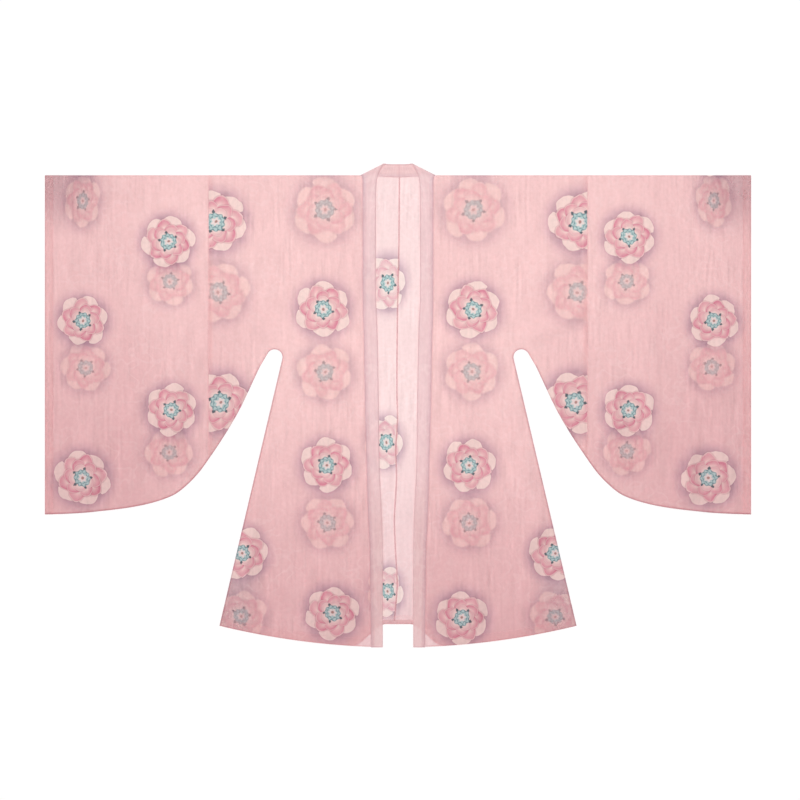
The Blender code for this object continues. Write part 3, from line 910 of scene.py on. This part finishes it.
def paint_petals(add, colours, angle, reach, stroke, row, under):
    """Paint one ring of petals over a colour.  Returns the colour and the ring's cover."""
    count, phase, tip, drop, roundness, base, middle, rim, flush = PETALS[row]
    turn = add("MULTIPLY_ADD", angle, count / (2 * pi), phase)
    number = add("FLOORED_MODULO", add("FLOOR", turn), count)
    chance = add("TexWhiteNoise", None, add("ADD", number, row * 11.3 + 0.7), noise_dimensions="1D")
    across = add("SUBTRACT", add("FRACT", turn), 0.5)
    lopsided = add("SUBTRACT", across, add("MapRange", chance, 0.0, 1.0, -0.04, 0.16))
    fall = add("MULTIPLY", add("ABSOLUTE", lopsided), 2.0)
    fall = add("MULTIPLY_ADD", add("POWER", fall, roundness), -drop * tip, tip)
    border = add("MULTIPLY", fall, add("MapRange", chance, 0.0, 1.0, 0.94, 1.03))
    depth = add("DIVIDE", reach, border)
    if row:
        under = add(SHADE, add("MapRange", depth, 1.065, 1.0, 0.0, 0.72), under, UNDER_PETALS)
    base, middle, rim = [getattr(colours, name) for name in (base, middle, rim)]
    petal = add("MixRGB", add(EASED, depth, 0.50, 0.80), base, middle)

    # The rim flushes deeper on one side of each petal
    lean = add("MULTIPLY_ADD", stroke, 0.45, add("MULTIPLY_ADD", across, -0.55, 0.90))
    blush = add("MULTIPLY", add(EASED, depth, 0.60, 0.97), lean)
    deeper = add("MapRange", chance, 0.0, 1.0, flush * 1.25, flush * 0.70)
    petal = add("MixRGB", add("MULTIPLY", blush, deeper, use_clamp=True), petal, rim)

    # It slips under its neighbour on that side, and its own edge is pale on the other
    slip = add("MapRange", across, -0.5, -0.38, 0.34 * flush + 0.06, 0.0)
    slip = add("MULTIPLY", slip, add("MapRange", depth, 0.55, 0.90))
    petal = add("MixRGB", slip, petal, colours.deep_pink)
    pale = add("MapRange", across, 0.44, 0.5, 0.0, 0.45)
    pale = add("MAXIMUM", pale, add("MapRange", depth, 0.955, 0.98, 0.0, 0.60))
    petal = add("MixRGB", pale, petal, colours.cream)
    cover = add(EASED, depth, 1.015, 0.985)
    return add("MixRGB", cover, under, petal), cover


def paint_rosette(add, colours, angle, reach, colour):
    """Paint five dark leaf tips and the lobed rings of the rosette over a colour."""
    turn = add("FRACT", add("MULTIPLY_ADD", angle, 5 / (2 * pi), 0.1))
    across = add("ABSOLUTE", add("SUBTRACT", turn, 0.5))
    along = add("ABSOLUTE", add("SUBTRACT", reach, 0.346))
    off = add("MULTIPLY_ADD", across, 1 / 0.145, add("MULTIPLY", along, 1 / 0.070))
    colour = add("MixRGB", add("MapRange", off, 1.15, 0.85), colour, colours.leaf)
    for lobes, lobe_depth, radius, paint in ROSETTE:
        wave = add("COSINE", add("MULTIPLY", angle, lobes))
        gap = add("SUBTRACT", reach, add("MULTIPLY_ADD", wave, lobe_depth, radius))
        colour = add("MixRGB", add("MapRange", gap, 0.012, -0.012), colour, getattr(colours, paint))
    return colour


def paint_flower(add, colours, under, strength):
    """Paint a layered flower with a rosette over a colour.  Returns the colour, its cover and halo.

    Petals are paler where the strength is under 1.
    """
    ripple = cloth_mottle(add, 26 * MM, 26 * MM)
    shift = add("VectorMath ADD", ripple.outputs[1], (-0.5, -0.5, -0.5))
    bent = add("VectorMath MULTIPLY_ADD", shift, (0.13, 0.13, 0.0), add("UVMap", uv_map="flower"))
    split = add("SeparateXYZ", bent)
    angle = add("ARCTAN2", split.outputs[1], split.outputs[0])
    reach = add("VectorMath LENGTH", bent).outputs[1]

    # Smoky halo, deepest beside the petals
    halo = add("MULTIPLY", add(EASED, reach, 1.46, 0.86), add("MapRange", ripple, 0.3, 0.7, 0.78, 1.08))
    colour = add("MixRGB", add("MULTIPLY", halo, 0.78, use_clamp=True), under, colours.halo)
    colour = add(SHADE, add(EASED, reach, 1.14, 0.95, 0.0, 0.55), colour, BESIDE_PETALS)

    # Brush strokes that run out from the middle of the flower, from -0.5 to 0.5
    fan = add("VectorMath MULTIPLY", add("CombineXYZ", angle, reach), (7.0, 2.5, 0.0))
    stroke = add("MapRange", add("TexNoise", fan, None, 1.0, 2.0, 0.6), 0.25, 0.75, -0.5, 0.5)

    covers = []
    for row in range(len(PETALS)):
        colour, cover = paint_petals(add, colours, angle, reach, stroke, row, colour)
        covers.append(cover)

    # The outermost ring covers what the whole flower covers
    cover = covers[0]
    colour = add(SHADE, cover, colour, add("MapRange", stroke, -0.5, 0.5, 0.93, 1.05))
    if strength < 1:
        colour = add("MixRGB", add("MULTIPLY", cover, 1 - strength), colour, FADED_PETALS)
    return paint_rosette(add, colours, angle, reach, colour), cover, halo


def printed_chiffon(name, strength):
    """Printed polyester chiffon: sheer and matt, so layers deepen in colour where they overlap.

    strength is 1 on the right side, and less where the print is seen from its back.
    """
    colours = bpy.context.scene.robe_colours
    density = bpy.context.scene.robe_print
    material, shader, add = new_material(name, roughness=0.82, sheen=0.12)
    streaks = crinkle_shade(add)
    out, run = cloth_place(add)
    # The ground darkens towards hems and cuffs, and greys at the cuff tops and low side corners, in
    # painted shade
    falloff_shade, smoky_shade = painted_falloff(add, out, run)
    ground = add("MixRGB", falloff_shade, colours.ground, colours.ground_deep)
    ground = add(SHADE, smoky_shade, ground, SMOKY_SHADE)
    ground = add("MixRGB", scroll_lines(add, density.scroll), ground, SCROLL)
    colour, cover, halo = paint_flower(add, colours, ground, strength)
    # The flowers and their halos darken with the same painted shade, less on the wrong side
    print_shade = add("MULTIPLY", add("MAXIMUM", cover, halo), falloff_shade)
    print_shade = add("MULTIPLY", print_shade, 1.0 if strength == 1 else 0.55)
    colour = add(SHADE, print_shade, colour, SHADED_PRINT)
    # Painted light and shade of the crinkles, with flecks of uneven yarn, weaker on the flowers
    tone = painted_crinkle_shade_and_flecks(add, streaks, 0.84, 1.13, 11 * MM, 0.045)
    colour = add(SHADE, add("MULTIPLY_ADD", cover, -0.6, 1.0), colour, tone)

    # A sewn edge is a narrow darker line, most of all on the sleeve
    line = add("MapRange", add("Attribute", attribute_name="sewn"), 1.4 * MM, 3.4 * MM, 1.0, 0.0)
    line = add("MULTIPLY", line, add("MapRange", out, 0.45, 0.62, 0.80, 1.0))
    colour = add(SHADE, line, colour, SEWN_LINE)

    # Closer at that line, in the halo, and at the shoulder fold, where the cloth stands on edge
    sheer = add("MapRange", streaks, 0.2, 0.8, density.cover + 0.05, density.cover - 0.05)
    sheer = add("MULTIPLY_ADD", line, 0.14, sheer)
    sheer = add("MULTIPLY_ADD", halo, 0.20, sheer)
    sheer = add("ADD", sheer, add("MapRange", run, 1 * MM, 3 * MM, 0.22, 0.0))
    gain = add("SUBTRACT", density.flower_cover, sheer)
    alpha = add("MULTIPLY_ADD", cover, gain, sheer, use_clamp=True)
    add(shader, colour, None, None, None, alpha, crepe_bump(add, streaks))
    return material


def plain_chiffon(name, colour, cover):
    """Plain dyed chiffon of hems and seam edges, sheer and matt, so it only deepens what it crosses."""
    material, shader, add = new_material(name, roughness=0.8, sheen=0.12)
    streaks = crinkle_shade(add)
    # Painted shade of the crinkles
    colour = add(SHADE, add("MapRange", streaks, 0.2, 0.8, 0.0, 0.4), colour, HEM_CRINKLE_SHADE)
    add(shader, colour, None, None, None, cover, crepe_bump(add, streaks))
    return material


def doubled_chiffon(name, colour, cover):
    """Plain chiffon folded double: closer than one layer, and closest at its fold and its seam."""
    material, shader, add = new_material(name, roughness=0.8, sheen=0.12)
    streaks = crinkle_shade(add)
    across, travel = cloth_place(add)
    # Painted shade, darker towards the band's lower end, with uneven mottle at random
    low = add(EASED, travel, 0.62, 0.15)
    patch = add("MapRange", cloth_mottle(add, 14 * MM, 70 * MM, 2.0), 0.35, 0.65, -0.12, 0.22)
    colour = add(SHADE, add("ADD", low, patch, use_clamp=True), colour, BAND_SHADE_AND_MOTTLE)
    colour = add("MixRGB", scroll_lines(add, 0.14), colour, BAND_SCROLL)

    # Behind the neck the band is gathered into fine pleats, whose light and shade are painted into the
    # colour
    behind = add(EASED, travel, 1.19, 1.23)
    pleats = add("MapRange", cloth_mottle(add, 60 * MM, 3.5 * MM, 2.0), 0.3, 0.7)
    colour = add(SHADE, behind, colour, add("MixRGB", pleats, PLEAT_SHADE, PLEAT_HIGHLIGHT))

    # Its two halves are joined there, at the centre
    joint = add("SeparateXYZ", add("TexCoord").outputs["Object"])
    joint = add("ABSOLUTE", add("SUBTRACT", joint, CENTRE_SEAM[0][1]))
    joint = add("MULTIPLY", add("MapRange", joint, 1.0 * MM, 3.6 * MM, 1.0, 0.0), behind)
    colour = add(SHADE, joint, colour, NECK_JOINT)

    # From the seam at 0 to the fold at the band's width: the body's turned edge shows through
    across = add("ABSOLUTE", add("SUBTRACT", across, BAND_WIDTH))
    across = add("SUBTRACT", BAND_WIDTH, across)
    turned = add(EASED, across, 4 * MM, 12 * MM, 1.0, 0.0)
    colour = add(SHADE, turned, colour, TURNED_EDGE)

    # Darker lines at the seam, the fold and the lower end
    seam = add("MapRange", across, 1.5 * MM, 4.0 * MM, 1.0, 0.0)
    seam = add("MULTIPLY", seam, add("MULTIPLY_ADD", behind, -0.8, 1.0))
    fold = add("MapRange", across, BAND_WIDTH - 3.0 * MM, BAND_WIDTH - 1.6 * MM, 0.0, 0.8)
    fold = add("MULTIPLY", fold, add("MULTIPLY_ADD", low, -0.5, 1.0))
    end = add("MapRange", travel, 1.5 * MM, 3.0 * MM, 0.8, 0.0)
    line = add("MAXIMUM", add("MAXIMUM", seam, fold), end)
    colour = add(SHADE, line, colour, BAND_EDGE)
    # Painted light and shade of the crinkles, with flecks of uneven yarn
    colour = add(SHADE, 1.0, colour, painted_crinkle_shade_and_flecks(add, streaks, 0.92, 1.05, 16 * MM, 0.035))
    alpha = add("MULTIPLY_ADD", line, 0.16, cover)
    add(shader, colour, None, None, None, alpha, crepe_bump(add, streaks))
    return material


def polyester_thread(name, colour):
    """Spun polyester sewing thread: matt, a shade deeper than the cloth."""
    material, shader, add = new_material(name, roughness=0.6, sheen=0.2)
    twist = add("TexNoise", add("TexCoord").outputs["Object"], None, 900.0, 1.0)
    add(shader, add(SHADE, 1.0, colour, add("MapRange", twist, 0.35, 0.65, 0.7, 1.0)))
    return material


def painted_floor(name, colour):
    """White painted board: matt and evenly lit, a little brighter than the cloth."""
    material, shader, add = new_material(name, roughness=0.9, sheen=0.0)
    grain = add("TexNoise", add("TexCoord").outputs["Object"], None, 3.0, 2.0)
    add(shader, add(SHADE, 1.0, colour, add("MapRange", grain, 0.0, 1.0, 0.985, 1.0)))
    shader.inputs["Emission Color"].default_value = WHITE
    shader.inputs["Emission Strength"].default_value = 0.20
    return material


def robe_material(name):
    """One of the robe's materials, made when it is first asked for."""
    colours = bpy.context.scene.robe_colours
    density = bpy.context.scene.robe_print
    recipes = {
        "printed_chiffon_right_side": (printed_chiffon, 1.0),
        "printed_chiffon_wrong_side": (printed_chiffon, density.wrong_side),
        "doubled_band_chiffon": (doubled_chiffon, colours.band, density.band_cover),
        "hem_chiffon": (plain_chiffon, colours.ground, density.hem_cover),
        "seam_chiffon": (plain_chiffon, colours.ground_deep, density.seam_cover),
        "polyester_thread": (polyester_thread, colours.thread),
        "painted_floor": (painted_floor, colours.floor),
    }
    recipe, *settings = recipes[name]
    return bpy.data.materials.get(name) or recipe(name, *settings)


# ---------------------------------------- pieces


def build_cloth(kind):
    """Both pieces of one kind, in printed chiffon."""
    for hand, side in SIDES:
        piece = cut_cloth(kind + "_cloth_" + hand, kind, side, outline_of(kind, side, TUCK))
        dress(piece, "printed_chiffon", kind + "_" + hand)


def build_sleeve_hems():
    """Turned cuff hems and felled sleeve seams, inside the cloth."""
    sizes = bpy.context.scene.robe_sizes
    cuff_runs = over_shoulder(sleeve_run(HALF_SPAN))
    seam_runs = over_shoulder(sleeve_run(SEAM_OUT))
    cuff = [(HALF_SPAN, run) for run in cuff_runs]
    turned = [(HALF_SPAN - sizes.cuff_hem + sizes.cuff_turn, run) for run in cuff_runs]
    seam = [(SEAM_OUT + 3 * MM, run) for run in seam_runs]
    felled = [(SEAM_OUT, run) for run in seam_runs]
    lower = traced(sleeve_run, SEAM_OUT, HALF_SPAN) + [(HALF_SPAN, sleeve_run(HALF_SPAN))]
    hems = [
        (cuff, 1, sizes.cuff_hem, INSET),
        (turned, 1, sizes.cuff_turn, INSET * 2),
        (seam, 1, sizes.sleeve_seam, INSET, "cut"),
        (felled, 1, sizes.sleeve_seam / 2, INSET * 2, "cut"),
    ]
    seams = [
        (lower, -1, sizes.side_seam, INSET * 2),
        (lower, -1, 2.5 * MM, INSET / 2),
        (lower, -1, 3.5 * MM, INSET),
        (cuff, 1, 2.5 * MM, INSET / 2),
    ]
    for hand, side in SIDES:
        sew_strips("sleeve", hand, side, hems, seams)


def build_body_hems():
    """Turned hems along the bottom, and the sewn edges inside the side and centre seams."""
    sizes = bpy.context.scene.robe_sizes
    front = traced(front_hem_run, band_seam_out(FRONT_LENGTH), HEM_CORNER_OUT) + [HEM_CORNER]
    for hand, side in SIDES:
        back = traced(back_hem_run, centre_out(side, BACK_LENGTH), HEM_CORNER_OUT)
        back.append((HEM_CORNER_OUT, -HEM_CORNER_RUN))
        middle = [
            (centre_out(side, down) - sizes.centre_seam / 2, -down)
            for down in spaced(NECK_DEPTH, BACK_LENGTH)
        ]
        hems = [(front, -1, sizes.front_hem, INSET), (back, 1, sizes.front_hem, INSET)]
        seams = [
            ([place for place in back if place[0] < HEM_OPENING], 1, sizes.front_hem / 2, INSET * 2),
            (front, -1, 3.0 * MM, INSET / 2),
            (back, 1, 3.0 * MM, INSET / 2),
            (under_edge(), 1, sizes.side_seam, INSET * 2),
            (middle, 1, sizes.centre_seam, INSET, "level"),
        ]
        sew_strips("body", hand, side, hems, seams)


def band_sections(side):
    """Sections of one half of the band: seam end, free end, middle height and outward normal."""
    up = Vector((0, 0, 1))

    def section(seam, edge, height, normal):
        seam, edge = [Vector((side * out, SHOULDER_Y - run, 0)) for out, run in (seam, edge)]
        return seam, edge, height, normal

    # Down the opening and beside the neck it lies on the front
    sections = []
    for run in spaced(FRONT_LENGTH, BAND_RUNS[0][0], 10 * MM) + [BAND_RUNS[0][0]]:
        seam_out, edge_out = [curve_value(BAND_RUNS, run, column) for column in (1, 2)]
        sections.append(section((seam_out, run), (edge_out, run), BAND_FRONT_Z, up))
    for row in NECK_FRONT:
        sections.append(section(row[:2], row[2:4], BAND_FRONT_Z + row[4], up))

    # It turns over at the side of the neck
    seam_end, free_end, top, _ = section(TURN_SEAM, TURN_EDGE, BAND_FRONT_Z + NECK_FRONT[-1][4], up)
    along = (free_end - seam_end).normalized()
    outward = Vector((-along.y, along.x, 0)) * (1 if along.x > 0 else -1)
    radius = (top - BAND_BACK_Z) / 2
    for angle in np.linspace(pi / 2, -pi / 2, 7):
        move = outward * (radius * cos(angle) - radius - 1.0 * MM)
        normal = outward * cos(angle) + up * sin(angle)
        height = BAND_BACK_Z + radius * (1 + sin(angle))
        sections.append((seam_end + move, free_end + move, height, normal))

    # Behind the neck it lies on the floor and ends at the centre
    for row in NECK_BACK:
        sections.append(section(row[:2], row[2:], BAND_BACK_Z, -up))
    centre = centre_out(side, 0.0)
    end = section((centre, 2 * NECK_DEPTH), (centre, NECK_BACK[-1][3]), BAND_BACK_Z, -up)
    return sections + [end]


def smooth_rings(rings):
    """Smooth curves through matching points of the rings, with more rings where they are sparse."""
    lined = [rings[0]] + rings + [rings[-1]]
    refined = []
    for before, start, end, after in zip(lined, lined[1:], lined[2:], lined[3:]):
        gap = max((b - a).length for a, b in zip(start, end))
        for t in spaced(0.0, 1.0, RING_GAP / gap):
            refined.append([
                cubic(b, c, (c - a) / 2, (d - b) / 2, t)
                for a, b, c, d in zip(before, start, end, after)
            ])
    return refined + [rings[-1]]


def pucker(point):
    """Unevenness of the band, with fine gathers behind the neck."""
    uneven = noise.noise(Vector((point.x / 0.012, point.y / 0.045, 5.0)))
    behind_neck = float(smooth(point.y, SHOULDER_Y, SHOULDER_Y + 0.010))
    return uneven + noise.noise(Vector((point.x / 0.006, 0.0, 7.0))) * behind_neck


def build_band():
    """The doubled band, each half a strip folded lengthwise with its fold at the opening."""
    parts = [i / 8 for i in range(9)]
    wall = [(BAND_WIDTH - BAND_HALF) * part for part in parts] + [BAND_WIDTH - BAND_HALF / 2]
    wide = wall + [BAND_WIDTH] + [2 * BAND_WIDTH - u for u in wall[::-1]]
    for hand, side in SIDES:
        rings = []
        for seam, edge, height, normal in band_sections(side):
            base = Vector((0, 0, height))
            inward = (edge - seam).normalized() * BAND_HALF
            out = normal * BAND_HALF
            line = [seam.lerp(edge - inward, part) + base for part in parts]
            round_end = [
                edge + base + inward * (sin(radians(angle)) - 1) + out * cos(radians(angle))
                for angle in (60, 90, 120)
            ]
            rings.append([at + out for at in line] + round_end + [at - out for at in line[::-1]])
        rings = smooth_rings(rings)
        spots = []
        places = []
        travel = 0.0
        for ring, before in zip(rings, rings[:1] + rings):
            travel += (ring[0] - before[0]).length
            for point, u in zip(ring, wide):
                lift = 0.25 * MM * pucker(point) if point.z > 1.2 * MM else 0.0
                spots.append(point + Vector((0, 0, lift)))
                places.append((u, travel))
        faces = grid_faces(len(rings), len(wide), side > 0)
        piece = make_piece("band_" + hand, spots, faces, ["doubled_band_chiffon"])
        add_cloth_map(piece, places)
        dress(piece, "band_chiffon", "collar_" + hand)


def build_stitching():
    """Rows of stitches along the hems, the sleeve seams and the band."""
    sizes = bpy.context.scene.robe_sizes
    within = 1.0 * MM
    beside = 1.2 * MM
    rise = sizes.front_hem - within
    hem_end = HEM_CORNER_OUT - 6 * MM
    columns = ((HALF_SPAN - sizes.cuff_hem + within, HALF_SPAN), (SEAM_OUT + beside, SEAM_OUT))
    sleeve_paths = [
        [(out, way * run) for run in spaced(FOLD_RUN + sizes.cloth_step, sleeve_run(edge))]
        for out, edge in columns
        for way in (1, -1)
    ]
    front = traced(front_hem_run, band_seam_out(FRONT_LENGTH), hem_end)
    front = [(out, run - rise) for out, run in front]
    edge = [(band_seam_out(run) + beside, run) for run in spaced(0.020, FRONT_LENGTH - 2 * MM)]
    for hand, side in SIDES:
        body = outline_of("body", side)
        back = traced(back_hem_run, centre_out(side, BACK_STITCH_RUN), hem_end)
        back = [(out, run + rise) for out, run in back]
        lines = [stitch_line(side, path, outline_of("sleeve", side)) for path in sleeve_paths]
        lines += [stitch_line(side, path, body) for path in (front, back, edge)]
        dress(raise_stitches("stitching_" + hand, lines), "band_chiffon")


def declare_cloth():
    """Work out the areas of the body's and a sleeve's cloth, which are not used further."""
    body_area = cloth_area(outline_of("body", 1, TUCK))
    sleeve_area = cloth_area(outline_of("sleeve", 1))


def cloth_area(outline):
    """Area inside an outline."""
    flat = np.array(outline)
    following = np.roll(flat, -1, axis=0)
    return abs(float(np.sum(flat[:, 0] * following[:, 1] - following[:, 0] * flat[:, 1]))) / 2


# ---------------------------------------- stage


def build_floor():
    """A large pale floor just under the robe."""
    bpy.ops.object.select_all(action="DESELECT")
    bpy.ops.mesh.primitive_plane_add(size=60.0, location=(0, 0, -0.2 * MM))
    floor = bpy.context.active_object
    floor.name = "floor"
    bpy.ops.object.transform_apply(location=True, rotation=True, scale=True)
    floor.data.materials.append(robe_material("painted_floor"))


def add_lamp(name, kind, energy, place, aim, **settings):
    """A lamp that shines from a place in the direction of its aim, unseen by the camera."""
    lamp = bpy.data.lights.new(name, kind)
    lamp.energy = energy
    lamp.cycles.use_multiple_importance_sampling = False
    for setting, value in settings.items():
        setattr(lamp, setting, value)
    made = bpy.data.objects.new(name, lamp)
    made.location = place
    made.rotation_mode = "QUATERNION"
    made.rotation_quaternion = Vector(aim).to_track_quat("-Z", "Y")
    made.visible_camera = False
    bpy.context.scene.collection.objects.link(made)


def build_lights():
    """Soft even light from all round and above, with a soft key from beyond the right shoulder."""
    world = bpy.data.worlds.new("studio")
    world.use_nodes = True
    add_node(world.node_tree, world.node_tree.nodes["Background"], WHITE, 0.55)
    bpy.context.scene.world = world
    above = (0.0, 0.3, 6.5)
    add_lamp("overhead_softbox", "AREA", 110.0, above, -Vector(above), shape="DISK", size=3.0)
    add_lamp("key", "SUN", 1.15, (0.0, 0.0, 0.0), (0.55, -0.55, -0.70), angle=radians(18.0))


def build_camera():
    """A long lens straight above the robe."""
    scene = bpy.context.scene
    frame_width = 2.04
    height = 6.0
    data = bpy.data.cameras.new("camera")
    data.sensor_width = 36.0
    data.lens = data.sensor_width * height / frame_width
    data.clip_end = 100.0
    camera = bpy.data.objects.new("camera", data)
    camera.location = (0.0051, 0.0135, height)
    scene.collection.objects.link(camera)
    scene.camera = camera
    scene.view_settings.view_transform = "Standard"
    scene.cycles.transparent_max_bounces = 24


# ---------------------------------------- add-on


class ROBE_OT_body(bpy.types.Operator):
    """Cut, fold and lay the two halves of the body"""

    bl_idname = "robe.body"
    bl_label = "Body Cloth"

    def execute(self, context):
        build_cloth("body")
        return {"FINISHED"}


class ROBE_OT_sleeves(bpy.types.Operator):
    """Cut, fold and lay the pieces that lengthen the sleeves"""

    bl_idname = "robe.sleeves"
    bl_label = "Sleeve Cloth"

    def execute(self, context):
        build_cloth("sleeve")
        return {"FINISHED"}


class ROBE_OT_hems(bpy.types.Operator):
    """Add the turned hems and the sewn edges inside the seams"""

    bl_idname = "robe.hems"
    bl_label = "Hems and Seams"

    def execute(self, context):
        build_sleeve_hems()
        build_body_hems()
        return {"FINISHED"}


class ROBE_OT_band(bpy.types.Operator):
    """Fold and lay the band of the neck and the front opening"""

    bl_idname = "robe.band"
    bl_label = "Neck Band"

    def execute(self, context):
        build_band()
        return {"FINISHED"}


class ROBE_OT_stitching(bpy.types.Operator):
    """Sew the rows of stitches"""

    bl_idname = "robe.stitching"
    bl_label = "Stitching"

    def execute(self, context):
        build_stitching()
        return {"FINISHED"}


class ROBE_OT_stage(bpy.types.Operator):
    """Set out the floor, the lights and the camera"""

    bl_idname = "robe.stage"
    bl_label = "Stage"

    def execute(self, context):
        build_floor()
        build_lights()
        build_camera()
        return {"FINISHED"}


OPERATORS = (
    ROBE_OT_body,
    ROBE_OT_sleeves,
    ROBE_OT_hems,
    ROBE_OT_band,
    ROBE_OT_stitching,
    ROBE_OT_stage,
)


class VIEW3D_PT_robe(bpy.types.Panel):
    """Sidebar panel with the robe's settings and its operators"""

    bl_label = "Hanfu Robe"
    bl_space_type = "VIEW_3D"
    bl_region_type = "UI"
    bl_category = "Robe"

    def draw(self, context):
        for group in ("robe_sizes", "robe_colours", "robe_print"):
            settings = getattr(context.scene, group)
            box = self.layout.box()
            for name in settings.bl_rna.properties.keys():
                if name not in ("rna_type", "name"):
                    box.prop(settings, name)
        for operator in OPERATORS:
            self.layout.operator(operator.bl_idname)


GROUPS = (("robe_sizes", RobeSizes), ("robe_colours", RobeColours), ("robe_print", RobePrint))
CLASSES = tuple(group for _, group in GROUPS) + OPERATORS + (VIEW3D_PT_robe,)


def register():
    """Register the classes and hang the settings on the scene."""
    for made in CLASSES:
        bpy.utils.register_class(made)
    for name, group in GROUPS:
        setattr(bpy.types.Scene, name, bpy.props.PointerProperty(type=group))


def unregister():
    """Undo register."""
    for name, _ in GROUPS:
        delattr(bpy.types.Scene, name)
    for made in reversed(CLASSES):
        bpy.utils.unregister_class(made)


def main():
    """Build the robe and its stage."""
    register()
    bpy.ops.robe.stage()
    bpy.ops.robe.body()
    bpy.ops.robe.sleeves()
    bpy.ops.robe.hems()
    bpy.ops.robe.band()
    bpy.ops.robe.stitching()
    declare_cloth()


if __name__ == "__main__":
    main()
